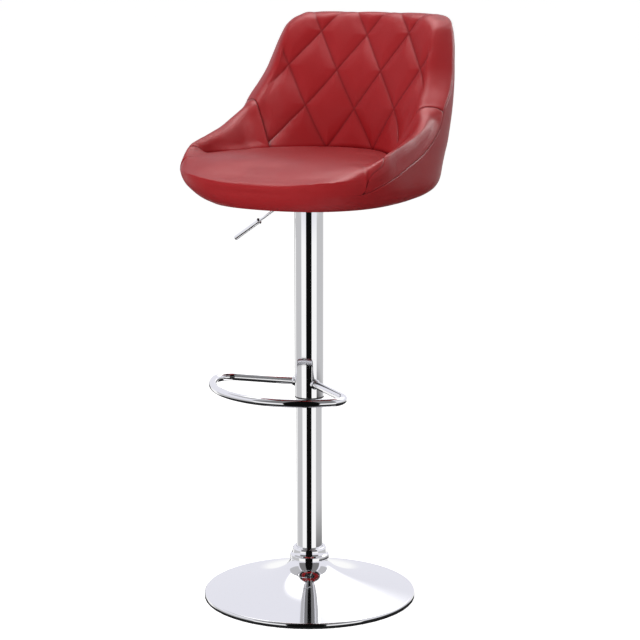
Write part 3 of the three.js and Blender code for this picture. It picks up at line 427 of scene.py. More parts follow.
def footPath():
    d = footLoop
    angle = math.radians(d["armAngle"])
    along = Vector((math.sin(angle), -math.cos(angle)))
    inward = Vector((-math.cos(angle), -math.sin(angle)))
    centre = Vector((0, -d["setback"]))
    start = inward * d["corner"] - centre
    reach = d["bow"] - d["corner"]
    b = start.dot(along)
    arm = -b + math.sqrt(b * b - start.length_squared + reach * reach)
    corner = along * arm + inward * d["corner"]
    outward = (corner - centre).normalized()
    bowAngle, cornerEnd = math.atan2(outward.x, -outward.y), math.atan2(-inward.x, inward.y)
    half = arc(centre, d["bow"], 0, bowAngle, d["bowSteps"])
    half += arc(corner, d["corner"], bowAngle, cornerEnd, d["cornerSteps"])[1:]
    half += [along * (d["start"] + (arm - d["start"]) * share) for share in (0.75, 0.5, 0.25, 0)]
    whole = [Vector((-p.x, p.y)) for p in reversed(half[1:])] + half
    turn = Matrix.Rotation(math.radians(d["turn"]), 2)
    return [(*(turn @ p), d["height"]) for p in whole]


def makeFootLoop():
    d = footLoop
    loop = bentRod("footLoop", footPath(), d["tube"], d["ringPoints"])
    dress(loop, "chrome", "seat", "footrest")
    for side, label in ((1, "left"), (-1, "right")):
        angle = math.radians(side * d["armAngle"] + d["turn"])
        profile = filleted(d["collar"], d["collarFillets"])
        piece = turnedPiece("weldCollar_" + label, profile, d["collarSides"])
        turn = Matrix.Rotation(angle, 4, "Z") @ Matrix.Rotation(math.radians(90), 4, "X")
        laid(piece, (0, axisY, d["height"] * mm), turn)
        dress(piece, "chrome", "seat", "footrest_ferrule_" + label)


makeFootLoop()

releaseLever = {
    "rod": 2.5, "height": 771.3, "inner": 4.0, "bend": -45.7, "bendRadius": 12.0, "bendSteps": 12,
    "slope": 34.6, "tip": -165.5, "gripLength": 67.0, "tuck": 3.0, "ringPoints": 20,
    "gripSides": 48, "gripFillets": {1: 0.5, 2: 0.5, 4: 1.2, 5: 0.6},
}


def makeLever():
    d = releaseLever
    slope = math.radians(d["slope"])
    run = Vector((-math.cos(slope), 0, -math.sin(slope)))
    tip = Vector((d["bend"], 0, d["height"])) + run * ((d["bend"] - d["tip"]) / math.cos(slope))
    tangent = d["bendRadius"] * math.tan(slope / 2)
    centre = Vector((d["bend"] + tangent, d["height"] - d["bendRadius"]))
    bend = arc(centre, -d["bendRadius"], 0, slope, d["bendSteps"])
    path = [(d["inner"], 0, d["height"]), *((x, 0, z) for x, z in bend), tip - run * d["tuck"]]
    rod = bentRod("leverRod", path, d["rod"], d["ringPoints"])
    dress(rod, "chrome", "lever", "lever_rod")
    length = d["gripLength"]
    profile = filleted([(2.8, 0), (6, 0), (6, 2.1), (4.3, 2.6), (4.3, length - 1), (2.9, length),
                        (0.4, length), (0.4, length - 1.8), (2.8, length - 1.8)], d["gripFillets"])
    grip = turnedPiece("leverGrip", profile, d["gripSides"])
    turn = Vector((0, 0, 1)).rotation_difference(run).to_matrix().to_4x4()
    start = (tip - run * length) * mm
    start.y = axisY
    laid(grip, start, turn)
    dress(grip, "chrome", "lever", "lever_grip")


makeLever()
print("bent metal made")


# ---- upholstery

seat = {
    "bottom": 775.0, "top": 1118.0, "halfWidth": 221.0, "front": 211.0, "rear": 272.0,
    "level": 858.0, "shellWall": 11.0, "shellFloor": 6.0, "floorHole": 132.0, "padBottom": 795.4,
    "armStart": 60.4, "armTip": 126.0, "armBlend": 20.0, "gap": 0.6, "roll": 24.0, "tipRoll": 10.0,
    "valley": 2.2, "valleyReach": 8.0,
}
# height share, then half width, front, rear, and how square the front and the rear corners are
outlineTable = np.array([
    (0, 0.79, 0.85, 0.745, 2.3, 2.8),
    (0.023, 0.868, 0.9, 0.77, 2.4, 3.3),
    (0.058, 0.925, 0.942, 0.778, 2.6, 3.9),
    (0.108, 0.96, 0.974, 0.77, 3, 4.3),
    (0.172, 0.978, 0.99, 0.76, 3.4, 4.5),
    (0.239, 0.989, 0.985, 0.75, 3.6, 5),
    (0.327, 0.996, 0.98, 0.75, 3.8, 6),
    (0.51, 0.986, 0.98, 0.78, 4, 8),
    (0.679, 0.945, 0.98, 0.857, 4, 9),
    (0.746, 0.924, 0.98, 0.892, 4, 9),
    (0.86, 0.892, 0.98, 0.96, 4, 8),
    (1, 0.855, 0.98, 1, 4, 6.5),
])
# by turn, the height share of the lower seam and of the crest
seamTable = np.array([
    (0, 0.978), (30, 0.972), (35, 0.948), (39.4, 0.898), (42, 0.835), (45.6, 0.728), (48, 0.662),
    (52, 0.59), (56, 0.536), (58.5, 0.503), (60.3, 0.471), (62, 0.43), (64.5, 0.385), (68, 0.345),
    (71.3, 0.316), (79.5, 0.265), (93, 0.216), (107, 0.165), (117, 0.131), (122, 0.11), (126, 0.1),
    (180, 0.1),
])
crestTable = np.array([
    (0, 1), (30, 0.996), (35, 0.973), (39.4, 0.925), (42, 0.865), (45.6, 0.762), (48, 0.695),
    (52, 0.618), (56.8, 0.55), (60, 0.51), (63.2, 0.489), (68, 0.461), (74.4, 0.431), (85, 0.39),
    (92, 0.371), (102.7, 0.342), (110, 0.312), (116, 0.278), (119.5, 0.248), (121.5, 0.221),
    (123.5, 0.178), (126, 0.116), (180, 0.116),
])
# by turn, how far out an arm meets the cushion, as a share of the outline
creaseTable = np.array([
    (60.4, 0.686), (70, 0.71), (84.8, 0.75), (96, 0.814), (107.9, 0.879), (117, 0.945), (126, 1),
    (180, 1),
])
# by height share, how far back the back's face lies and how much it curves
faceTable = np.array([
    (0.23, 0.58, 0.911), (0.34, 0.591, 0.639), (0.469, 0.611, 0.421), (0.688, 0.69, 0.239),
    (0.875, 0.8, 0.25), (1, 0.868, 0.25),
])
# where the tip of an arm pad is sewn to the cushion: turn, then the way up from the lower seam
tipTable = np.array([
    (104, 52), (111.8, 42), (114.9, 37.6), (117.5, 36.8), (119.9, 36.4), (121.9, 34.4),
    (123.8, 28.7), (124.6, 16.5), (124.95, 2), (180, 1),
])
# how much the shared skin swells up towards the arms, by turn
swellTable = np.array([
    (100, 33), (104, 29), (108, 24), (112, 18.4), (116, 13), (120, 8), (124, 4.4), (128, 2.5),
    (134, 0.6), (140, 0), (180, 0),
])


def lookup(table, key, column=1):
    # a curve through the rows that never overshoots them
    x, y = table[:, 0], table[:, column]
    step = np.diff(x)
    rise = np.diff(y) / step
    slope = np.zeros(len(x))
    slope[0], slope[-1] = rise[0], rise[-1]
    for i in range(1, len(x) - 1):
        if rise[i - 1] * rise[i] > 0:
            a, b = 2 * step[i] + step[i - 1], step[i] + 2 * step[i - 1]
            slope[i] = (a + b) / (a / rise[i - 1] + b / rise[i])
    key = np.clip(key, x[0], x[-1])
    i = np.clip(np.searchsorted(x, key, side="right") - 1, 0, len(x) - 2)
    t = (key - x[i]) / step[i]
    return (y[i] * (1 + 2 * t) * (1 - t) ** 2 + step[i] * slope[i] * t * (1 - t) ** 2
            + y[i + 1] * t * t * (3 - 2 * t) + step[i] * slope[i + 1] * t * t * (t - 1))


def smoothStep(value, start, end):
    t = np.clip((value - start) / (end - start), 0, 1)
    return t * t * (3 - 2 * t)


def turnStep(turn, start, end):
    return smoothStep(np.abs(turn), start, end)


def mixed(first, second, share):
    return first * (1 - share) + second * share


def closeness(distance, reach):
    # 1 at no distance, 0 from the reach on
    return np.clip(1 - distance / reach, 0, 1)


def heightShare(z):
    return (z - seat["bottom"]) / (seat["top"] - seat["bottom"])


def heightAt(share):
    return seat["bottom"] + (seat["top"] - seat["bottom"]) * share


def outlineRadius(turn, z):
    width, front, rear, frontPower, rearPower = (
        lookup(outlineTable, heightShare(z), column) for column in range(1, 6))
    behind = np.abs(turn) <= 90
    depth = np.where(behind, seat["rear"] * rear, seat["front"] * front)
    power = np.where(behind, rearPower, frontPower)
    across = np.abs(np.sin(np.radians(turn))) / (seat["halfWidth"] * width)
    along = np.abs(np.cos(np.radians(turn))) / depth
    return (across ** power + along ** power) ** (-1 / power)


def seamHeight(turn):
    return heightAt(lookup(seamTable, np.abs(turn)))


def crestHeight(turn):
    return heightAt(lookup(crestTable, np.abs(turn)))


def faceRadius(turn, z):
    share = heightShare(z)
    reach = seat["rear"] * lookup(faceTable, share)
    bend = lookup(faceTable, share, 2) / seat["rear"]
    s, c = np.sin(np.radians(turn)), np.cos(np.radians(turn))
    curve = np.maximum(bend * s * s * 1.5, 1e-9)
    return (-c + np.sqrt(c * c + 4 * curve * reach)) / (2 * curve)


def armFoot(turn):
    radius = outlineRadius(turn, seat["level"]) * lookup(creaseTable, np.abs(turn))
    return np.minimum(radius, outlineRadius(turn, seamHeight(turn)) - 3)


def armShare(turn):
    return turnStep(turn, seat["armStart"], seat["armStart"] + seat["armBlend"])


def creaseRadius(turn):
    return mixed(faceRadius(np.abs(turn), seat["level"]), armFoot(turn), armShare(turn))


def padRoll(turn):
    # how far down from the crest the roll of a pad reaches, narrower at the tips of the arms
    return mixed(seat["roll"], seat["tipRoll"], turnStep(turn, 105, 118))


def padStart(turn):
    # height at which the face of a pad begins, where the cushion touches it
    return np.minimum(seat["level"],
                      np.maximum(crestHeight(turn) - padRoll(turn), seamHeight(turn) + 0.3))


def frontValley(turn, z):
    # the soft crease that runs round the front
    near = np.exp(-((z - seamHeight(turn)) / seat["valleyReach"]) ** 2)
    return seat["valley"] * near * turnStep(turn, 138, 165)


cushion = {
    "columns": 300, "topRows": 46, "rollRows": 18, "crown": 5.0, "waterfall": 40.0,
    "fallFrom": 40.0, "fallPower": 3.0, "roll": 24.0, "sideRoll": 0.45, "cornerRoll": 28.0,
    "turnDown": 24.0, "frontTurnDown": 8.0, "swellReach": 42.0, "faceReach": 24.0, "armRoll": 8.5,
    "cornerTop": 60, "cornerShoulder": 30, "cornerSide": 24, "middle": 0.03, "sink": 2.5,
    "pressure": 3.0, "cap": 5.0, "even": (5, 2), "sewnTurn": 5.0,
}


def cushionTop(turn, radius):
    c = cushion
    forward = np.maximum(0, -np.cos(np.radians(turn)) * radius - c["fallFrom"])
    share = radius / outlineRadius(turn, seat["level"])
    drop = c["waterfall"] * (forward / (seat["front"] - c["fallFrom"])) ** c["fallPower"]
    return seat["level"] + c["crown"] * (1 - share ** 2) - drop


def cornerCurve(turns):
    # the one skin that cushion and arm tips share round the front, as radius and height of each
    # column's curve: top, shoulder, side, seam
    c = cushion
    turns = turns[:, None]
    seam = seamHeight(turns)
    down = seam + c["turnDown"] + (c["frontTurnDown"] - c["turnDown"]) * turnStep(turns, 140, 172)
    edge = outlineRadius(turns, down)
    roll = c["armRoll"] + (c["cornerRoll"] - c["armRoll"]) * turnStep(turns, 112, 142)
    inner = edge - roll
    topRadius = inner * np.linspace(c["middle"], 1, c["cornerTop"])[None, :]
    top = cushionTop(turns, topRadius)
    reach = c["faceReach"] + (c["swellReach"] - c["faceReach"]) * turnStep(turns, 106, 120)
    top = top + lookup(swellTable, np.abs(turns)) * smoothStep(topRadius, inner - reach, inner + 3)
    end = top[:, -1:]
    slope = (top[:, -2:-1] - end) / (topRadius[:, -1:] - topRadius[:, -2:-1])
    down = np.minimum(down, end - 8)
    half = roll * 0.5
    s = np.linspace(0, 1, c["cornerShoulder"])[None, 1:]
    shoulderRadius = curveBetween(s, inner, inner + half, edge, edge)
    shoulder = curveBetween(s, end, end - slope * half, down + 0.5 * (end - down), down)
    side = down + (seam - down) * np.linspace(0, 1, c["cornerSide"])[None, 1:]
    sideRadius = outlineRadius(turns, side) \
        + (edge - outlineRadius(turns, down)) * (side - seam) / (down - seam)
    radius = np.concatenate([topRadius, shoulderRadius, sideRadius], 1)
    height = np.concatenate([top, shoulder, side], 1)
    valley = frontValley(turns, height)
    valley[:, :c["cornerTop"] // 2] = 0
    return np.stack([radius - valley, height])


def along(curves):
    steps = np.cumsum(np.hypot(*np.diff(curves, axis=2)), 1)
    return np.concatenate([np.zeros((len(steps), 1)), steps], 1)


def resampled(curves, start, end, shares):
    # points of each column's curve between two ways along it
    wanted = start[:, None] + (end - start)[:, None] * shares
    return np.array([[np.interp(*line) for line in zip(wanted, along(curves), values)]
                     for values in curves])


def tipWay(turns):
    # the way along the shared skin at which the arm's tip is sewn on, and the whole way
    curves = cornerCurve(turns)
    way, rows = along(curves), cushion["cornerTop"]
    whole = way[:, -1]
    inner = np.array([np.interp(*line) for line in
                      zip(armFoot(turns), curves[0, :, :rows], way[:, :rows])])
    share = turnStep(turns, 110, 117)
    return mixed(inner, whole - lookup(tipTable, np.abs(turns)), share), whole


def tipShare(turns):
    # 0 where an arm stands up from the cushion, 1 where its tip lies in the cushion's own skin
    return turnStep(turns, 104, 112)


def hiddenWall(turns):
    # the joint between cushion and pad goes down out of sight from where their visible skins meet:
    # two radii with their heights
    way, _ = tipWay(turns)
    tip = resampled(cornerCurve(turns), way, way, np.zeros(1))[..., 0]
    radius, height = mixed(np.array([creaseRadius(turns), padStart(turns)]), tip, tipShare(turns))
    root = np.minimum(radius, outlineRadius(turns, seat["padBottom"]) - 17)
    lean = np.minimum(height - 2, seat["level"] - 24)
    inShell = outlineRadius(turns, lean) - seat["shellWall"] - 1
    leanRadius = np.where(lean < seamHeight(turns), np.minimum(radius, inShell), radius)
    return leanRadius, lean, root, (seat["padBottom"] + lean) / 2


def meshPiece(name, points, faces, fold=None):
    mesh = bpy.data.meshes.new(name)
    mesh.from_pydata((points * mm + np.array((0, axisY, 0))).tolist(), [], faces)
    mesh.update()
    # the fold attribute carries painted shade for the vinyl's colour
    if fold is not None:
        layer = mesh.attributes.new("fold", "FLOAT", "POINT")
        layer.data.foreach_set("value", fold.astype(np.float32))
    piece = bpy.data.objects.new(name, mesh)
    bpy.context.scene.collection.objects.link(piece)
    outwardFaces(piece)
    bpy.ops.object.shade_smooth()
    return piece


def polar(turn, radius, z):
    flat = np.sin(np.radians(turn)) * radius, np.cos(np.radians(turn)) * radius
    return np.stack(np.broadcast_arrays(*flat, z), -1)


def gridFaces(columns, rows, closedColumns, closedRows):
    # a tube that is open at its ends gets a face over each
    faces = []
    for i in range(columns if closedColumns else columns - 1):
        j = (i + 1) % columns
        for k in range(rows if closedRows else rows - 1):
            n = (k + 1) % rows
            faces.append((i * rows + k, j * rows + k, j * rows + n, i * rows + n))
    if closedRows and not closedColumns:
        faces += [tuple(range(rows)), tuple(reversed(range((columns - 1) * rows, columns * rows)))]
    return faces


def skinNormals(points):
    # they point out of the cover, as turns grow along the columns and the way along the rows
    normal = np.cross(np.gradient(points, axis=0), np.gradient(points, axis=1))
    return normal / (np.linalg.norm(normal, axis=-1, keepdims=True) + 1e-9)


pad = {
    "rollRows": 26, "crestShare": 0.5, "armCrestShare": 0.8, "crestDrop": 7.0, "rollPull": 0.55,
    "seamDip": 0.9, "seamReach": 3.5, "edgeDip": 1.6, "shellRows": 14,
}
backPad = {
    **pad, "columns": 261, "faceRows": 120, "sideRows": 14, "pressure": 18.0, "cap": 6.0,
    "even": (2, 2), "quiltHalfWidth": 47.5, "quiltRise": 76.0, "quiltBow": 10.0, "quiltDepth": 3.9,
    "quiltReach": 23.0, "stitchDepth": 0.8, "stitchReach": 1.5, "puff": 3.4, "heldReach": 4.0,
    "pucker": 0.16, "fadeFrom": 150.0, "fadeTo": 182.0, "edgeReach": 5.0, "creaseDip": 2.6,
    "creaseReach": 9.0, "creaseFold": 3.0, "sewnBorder": 8.0,
}
armPad = {
    **pad, "columns": 150, "faceRows": 40, "sideRows": 22, "sink": 2.5, "pressure": 4.0, "cap": 4.0,
    "even": (9, 6), "reach": 5.0, "creaseDip": 1.8, "creaseFold": 2.0, "sewnBorder": 5.0,
    "freeTo": (98.0, 108.0), "lastStitch": 122.0,  # degrees
}


def padGrid(turns, form):
    # radius and height over a pad's visible skin, and the way along it from the crease
    turns = turns[:, None]
    around = np.abs(turns)
    seam, crest = seamHeight(turns), crestHeight(turns)
    # the arms carry their crest further out and a little lower than the back
    outward = turnStep(turns, 62, 80)
    crest = crest - form["crestDrop"] * outward * (1 - turnStep(turns, 106, 118))
    crestShare = form["crestShare"] + (form["armCrestShare"] - form["crestShare"]) * outward
    outer = outlineRadius(turns, seam)
    start = padStart(turns)
    roll = np.minimum(padRoll(turns), (crest - start) / 2)
    faceTop = crest - roll
    foot = armFoot(turns)
    armTop = np.maximum(foot, outlineRadius(turns, crest) - seat["roll"])
    z = start + (faceTop - start) * np.linspace(0, 1, form["faceRows"])[None, :]
    back = faceRadius(around, z)
    share = np.clip((z - start) / (crest - start), 0, 1)
    arm = foot + (armTop - foot) * share ** 0.8
    arm = mixed(np.minimum(back, armTop), arm, armShare(turns))
    r = np.where(around > seat["armStart"], arm, back)
    edge = r[:, -1:]
    # the roll leaves the face in the face's own direction, so that no crease runs along it
    lean = (edge - r[:, -4:-3]) / np.maximum(z[:, -1:] - z[:, -4:-3], 1e-6)
    lean = np.clip(lean, -0.3, 1.2)
    crestRadius = edge + (outer - edge) * crestShare
    crestRadius = np.maximum(crestRadius, np.minimum(edge + lean * roll * 0.9, outer - 2))
    a = np.linspace(0, 1, form["rollRows"])[None, 1:]
    pull = roll * form["rollPull"]
    rollRadius = curveBetween(a, edge, edge + lean * pull,
                              crestRadius - (crestRadius - edge) * form["rollPull"], crestRadius)
    rollHeight = curveBetween(a, faceTop, faceTop + pull, crest, crest)
    b = np.linspace(0, np.pi / 2, form["sideRows"])[None, 1:]
    sideRadius = crestRadius + (outer - crestRadius) * np.sin(b)
    sideHeight = seam + (crest - seam) * np.cos(b)
    curves = np.stack([np.concatenate([r, rollRadius, sideRadius], 1),
                       np.concatenate([z, rollHeight, sideHeight], 1)])
    if form is armPad:
        way, whole = tipWay(turns[:, 0])
        even = np.linspace(0, 1, curves.shape[2])
        arm = resampled(curves, 0 * way, along(curves)[:, -1], even)
        tip = resampled(cornerCurve(turns[:, 0]), way, whole, even)
        curves = mixed(arm, tip, tipShare(turns))
    return curves, along(curves)


def closedPad(name, turns, skin, fold):
    # adds the hidden side, which runs down inside the shell and back up to the crease
    seam = seamHeight(turns)
    leanRadius, lean, root, middle = hiddenWall(turns)
    # down the inside of the shell, which curves in between its rim and its floor
    inShell = []
    for share in np.linspace(0, 1, pad["shellRows"]):
        z = mixed(seam - 4, seat["padBottom"], share)
        wall = outlineRadius(turns, z) - seat["shellWall"] - 1
        inShell.append(polar(turns, np.maximum(wall, root + 2), z))
    hidden = [
        polar(turns, outlineRadius(turns, seam) - 3, seam - 1.2),
        *inShell,
        polar(turns, root, seat["padBottom"]),
        polar(turns, root, middle),
        polar(turns, leanRadius, lean),
    ]
    whole = np.concatenate([skin, np.stack(hidden, 1)], 1)
    faces = gridFaces(*whole.shape[:2], False, True)
    # painted shade: the hidden side is painted fully dark
    paintedShades = np.concatenate([fold, np.ones((len(turns), len(hidden)))], 1)
    return meshPiece(name, whole.reshape(-1, 3), faces, paintedShades.reshape(-1))


def seamRoll(distance, form):
    # how far a pad's skin dips where it is sewn, from 0 at the reach to the full dip at the seam
    t = closeness(distance, form["seamReach"])
    return form["seamDip"] * (1 - np.sqrt(np.maximum(1 - t * t, 0)))


def paintedSeamShade(toSeam, toEdge, toCrease, form):
    # painted shade: how dark a pad's cover is painted along its seam, its edge and its crease
    lines = np.maximum(closeness(toSeam, 1.6), closeness(toEdge, 1.2) * 0.8)
    return np.maximum(lines, closeness(toCrease, form["creaseFold"]) * 0.7)


fabric = {"voxel": 5.0, "steps": 20, "nearest": 5}


def meshPoints(piece):
    # from the column's foot
    values = np.empty(len(piece.data.vertices) * 3, dtype=np.float32)
    piece.data.vertices.foreach_get("co", values)
    return values.reshape(-1, 3) / mm - np.array((0, axisY / mm, 0))


def treeOf(places):
    tree = kdtree.KDTree(len(places))
    for i, place in enumerate(places):
        tree.insert(place, i)
    tree.balance()
    return tree


def simulatedLift(piece, sample, outward, sewn, form):
    # the piece's cover swells under a light pressure while what is sewn stays held: gives how far
    # each sample point rises, no further than the cap
    pick(piece)
    remesh = piece.modifiers.new("remesh", "REMESH")
    remesh.mode, remesh.voxel_size = "VOXEL", fabric["voxel"] * mm
    bpy.ops.object.modifier_apply(modifier="remesh")
    rest = meshPoints(piece)
    tree = treeOf(sample)
    held = piece.vertex_groups.new(name="sewn")
    shown = []
    for i, place in enumerate(rest):
        _, nearest, distance = tree.find(place)
        weight = 1 if distance > fabric["voxel"] * 1.3 else float(sewn[nearest])
        if weight < 1:
            shown.append(i)
        if weight > 0:
            held.add([i], weight, "REPLACE")
    cloth = piece.modifiers.new("cloth", "CLOTH")
    cloth.settings.use_pressure = True
    cloth.settings.uniform_pressure_force = form["pressure"]
    cloth.settings.effector_weights.gravity = 0
    cloth.settings.vertex_group_mass = "sewn"
    for step in range(1, fabric["steps"] + 1):
        bpy.context.scene.frame_set(step)
    bpy.ops.object.modifier_apply(modifier="cloth")
    moved = meshPoints(piece) - rest
    bpy.data.objects.remove(piece)
    bpy.context.scene.frame_set(1)
    shown = np.array(shown)
    tree = treeOf(rest[shown])
    lift = np.zeros(len(sample))
    for i, place in enumerate(sample):
        found = tree.find_n(place, fabric["nearest"])
        near = shown[[index for _, index, _ in found]]
        weights = 1 / (np.array([distance for _, _, distance in found]) + 1)
        lift[i] = (moved[near] * weights[:, None]).sum(0) @ outward[i] / weights.sum()
    moves = np.round(np.percentile(lift, (5, 50, 95, 100)), 1)
    print("simulated", len(rest), "points, moved", moves)
    return form["cap"] * np.tanh(np.maximum(lift, 0) / form["cap"])


def evened(values, reach, closed=False):
    # a grid of values averaged over its neighbours, by turns along the columns and the rows
    for axis, steps in enumerate(reach):
        for _ in range(2):
            mode = "wrap" if closed and axis == 0 else "edge"
            width = [(steps, steps) if k == axis else (0, 0) for k in (0, 1)]
            padded, count = np.pad(values, width, mode), values.shape[axis]
            values = np.mean([np.take(padded, range(k, k + count), axis)
                              for k in range(2 * steps + 1)], 0)
    return values


def padLift(turns, skin, outward, sewn, sink, form):
    # how far a pad's skin rises again from a start that lies deeper by the sink
    start = skin - outward * sink[..., None]
    columns, rows = [np.unique(np.append(np.arange(0, count, step), count - 1))
                     for count, step in zip(skin.shape[:2], (3, 2))]
    few = np.ix_(columns, rows)
    piece = closedPad("simulated", turns[columns], start[few], 0 * sink[few])
    lift = simulatedLift(piece, start.reshape(-1, 3), outward.reshape(-1, 3),
                         sewn.astype(float).reshape(-1), form)
    return evened(lift.reshape(sink.shape), form["even"])


stitches = {
    "inset": 3.6, "pitch": 4.4, "half": 1.5, "thick": 0.42, "dive": 0.5, "rings": 5, "sides": 6,
}


def pointAt(way, ways, points):
    return np.array([np.interp(way, ways, points[:, k]) for k in range(3)])


def makeStitches(name, skin, outward, way, mirrored=False):
    # a row of sewn stitches along a pad's outer seam
    d = stitches
    inset = way[:, -1] - d["inset"]
    line, lift = (np.array([pointAt(*column) for column in zip(inset, way, grid)])
                  for grid in (skin, outward))
    length = np.concatenate([[0], np.cumsum(np.linalg.norm(np.diff(line, axis=0), axis=1))])
    points, faces, tube = [], [], gridFaces(d["rings"], d["sides"], False, True)
    angles = np.linspace(0, 2 * math.pi, d["sides"], endpoint=False)
    for middle in np.arange(d["pitch"], length[-1] - d["pitch"], d["pitch"]):
        start, end = (pointAt(middle + half, length, line) for half in (-d["half"], d["half"]))
        up = pointAt(middle, length, lift)
        run = (end - start) / np.linalg.norm(end - start)
        up = up - run * (up @ run)
        up /= np.linalg.norm(up)
        side = np.cross(run, up)
        first = len(points)
        for share in np.linspace(-1, 1, d["rings"]):
            # each stitch rises out of the cover in the middle and dives into it at its ends
            thick = d["thick"] * math.sqrt(max(1 - share * share, 0.06))
            centre = (start + end) / 2 + run * share * d["half"] - up * d["dive"] * share * share
            points += [centre + thick * (np.cos(a) * side + np.sin(a) * up) for a in angles]
        faces += [tuple(first + k for k in face) for face in tube]
    points = np.array(points)
    if mirrored:
        points[:, 0] *= -1
    dress(meshPiece(name, points, faces), "red_vinyl", "seat", finish="seamThread")


def makeBackPad():
    form = backPad
    limit = seat["armStart"] - 0.05
    turns = limit * np.linspace(-1, 1, form["columns"])
    curves, way = padGrid(turns, form)
    skin = polar(turns[:, None], *curves)
    outward = skinNormals(skin)
    x = skin[..., 0]
    # rows of stitches rise a little towards the sides
    level = way - form["quiltBow"] * (x / 100) ** 2 * np.minimum(1, way / 60)
    p, q = x / form["quiltHalfWidth"], level / form["quiltRise"]
    unit = 1 / math.hypot(1 / form["quiltHalfWidth"], 1 / form["quiltRise"])
    first, second = (np.abs(np.mod(value, 2) - 1) * unit for value in (p + q, p - q))
    near = np.minimum(first, second)
    # the quilting fades out towards the sides and over the top
    rows, last = form["faceRows"] + form["rollRows"] - 1, way.shape[1]
    overTop = np.ones(last)
    overTop[form["faceRows"]:rows] = np.linspace(1, 0.35, rows - form["faceRows"])
    overTop[rows:] = np.linspace(0.35, 0, last - rows)
    fade = (1 - smoothStep(np.abs(x), form["fadeFrom"], form["fadeTo"])) * overTop
    channel = form["quiltDepth"] * closeness(near, form["quiltReach"]) ** 2 \
        + form["stitchDepth"] * np.exp(-near / form["stitchReach"])
    puff = form["puff"] * closeness(near, unit / 2) ** 2
    # the cover gathers in short puckers beside each line of stitches
    alongLine = np.where(first < second, p - q, p + q) * unit * 2
    pucker = form["pucker"] * np.sin(alongLine * 0.9 + 3 * np.sin(p * 5)) \
        * np.exp(-((near - 5) / 4.5) ** 2)
    toSeam = np.radians(limit - np.abs(turns))[:, None] * curves[0]
    toEdge = way[:, -1:] - way
    toBorder = np.minimum(np.minimum(toSeam, way), toEdge)
    sewn = ((near < form["heldReach"]) & (fade > 0.1)) | (toBorder < form["sewnBorder"])
    lift = padLift(turns, skin, outward, sewn, fade * form["puff"], form)
    puff = form["puff"] - lift * smoothStep(toBorder, 6, 26) / np.maximum(fade, 0.3)
    # each end is drawn in where the arm pad is sewn to it
    depth = fade * (channel + puff + pucker) + seamRoll(toSeam, form)
    depth = depth + form["creaseDip"] * closeness(way, form["creaseReach"]) ** 2
    depth = depth + form["edgeDip"] * closeness(toEdge, form["edgeReach"]) ** 2
    skin = skin - outward * depth[..., None]
    # painted shade along each quilted line and in a soft band beside it, fading with the quilting
    fold = fade * (0.45 * closeness(near, 1.8) + 0.4 * closeness(near, 7) ** 2)
    fold = np.maximum(fold, paintedSeamShade(toSeam, toEdge, way, form))
    makeStitches("backStitches", skin, outward, way)
    piece = closedPad("backPad", turns, skin, fold)
    dress(piece, "red_vinyl", "seat", "back_pad")


def makeArmPads():
    # the right arm is the left one's mirror image
    form = armPad
    start, end = seat["armStart"] + 0.05, seat["armTip"] - 1.15
    turns = start + (end - start) * np.linspace(0, 1, form["columns"])
    curves, way = padGrid(turns, form)
    skin = polar(turns[:, None], *curves)
    outward = skinNormals(skin)
    toSeam = np.radians(turns - start)[:, None] * curves[0]
    length = way[:, -1:]
    toEdge = length - way
    depth = seamRoll(toSeam, form)
    # the cloth wrinkles towards the tip, so nothing is carried over from there
    toBorder = np.minimum(np.minimum(toSeam, way), toEdge)
    free = smoothStep(toBorder, 3, 24) * (1 - smoothStep(turns, *form["freeTo"]))[:, None]
    sewn = (toBorder < form["sewnBorder"]) | (turns > form["freeTo"][1])[:, None]
    sink = form["sink"] * free
    depth = depth + (sink - padLift(turns, skin, outward, sewn, sink, form) * free)
    reach = np.minimum(form["reach"], length / 4)
    flush = (1 - 0.55 * tipShare(turns)[:, None]) * np.minimum(1, length / 30)
    depth = depth + form["edgeDip"] * flush * closeness(toEdge, reach) ** 2
    depth = depth + form["creaseDip"] * flush * closeness(way, reach) ** 2
    skin = skin - outward * depth[..., None]
    # painted shade along the arm pad's seam, edge and crease
    fold = paintedSeamShade(toSeam, toEdge, way, form)
    stitched = turns < form["lastStitch"]
    row = skin[stitched], outward[stitched], way[stitched]
    for label, mirrored in (("left", False), ("right", True)):
        makeStitches("armStitches_" + label, *row, mirrored)
        piece = closedPad("armPad_" + label, turns, skin, fold)
        if mirrored:
            piece.data.transform(Matrix.Scale(-1, 4, (1, 0, 0)))
            outwardFaces(piece)
        dress(piece, "red_vinyl", "seat", "arm_pad_" + label)


makeBackPad()
makeArmPads()
print("back and arm pads made")


def swollenCushion(skin, points, faces, toEdge):
    # the cushion's top rises from a start that lies deeper, and stays where its edge is sewn
    c = cushion
    outward = skinNormals(skin)
    free = np.zeros(skin.shape[:2])
    free[:, :-3] = smoothStep(toEdge, 4, 34)
    start = skin - outward * (c["sink"] * free)[..., None]
    plain = np.concatenate([start.reshape(-1, 3), points[-2:] - ((0, 0, c["sink"]), (0, 0, 0))])
    lift = simulatedLift(meshPiece("simulated", plain, faces), start.reshape(-1, 3),
                         outward.reshape(-1, 3), (free < 0.01).astype(float).reshape(-1), c)
    lift = evened(lift.reshape(free.shape), c["even"], True)
    skin = start + outward * (lift * free)[..., None]
    points = np.concatenate([skin.reshape(-1, 3), points[-2:]])
    points[-2, 2] = skin[:, 0, 2].mean() + 0.1
    return points


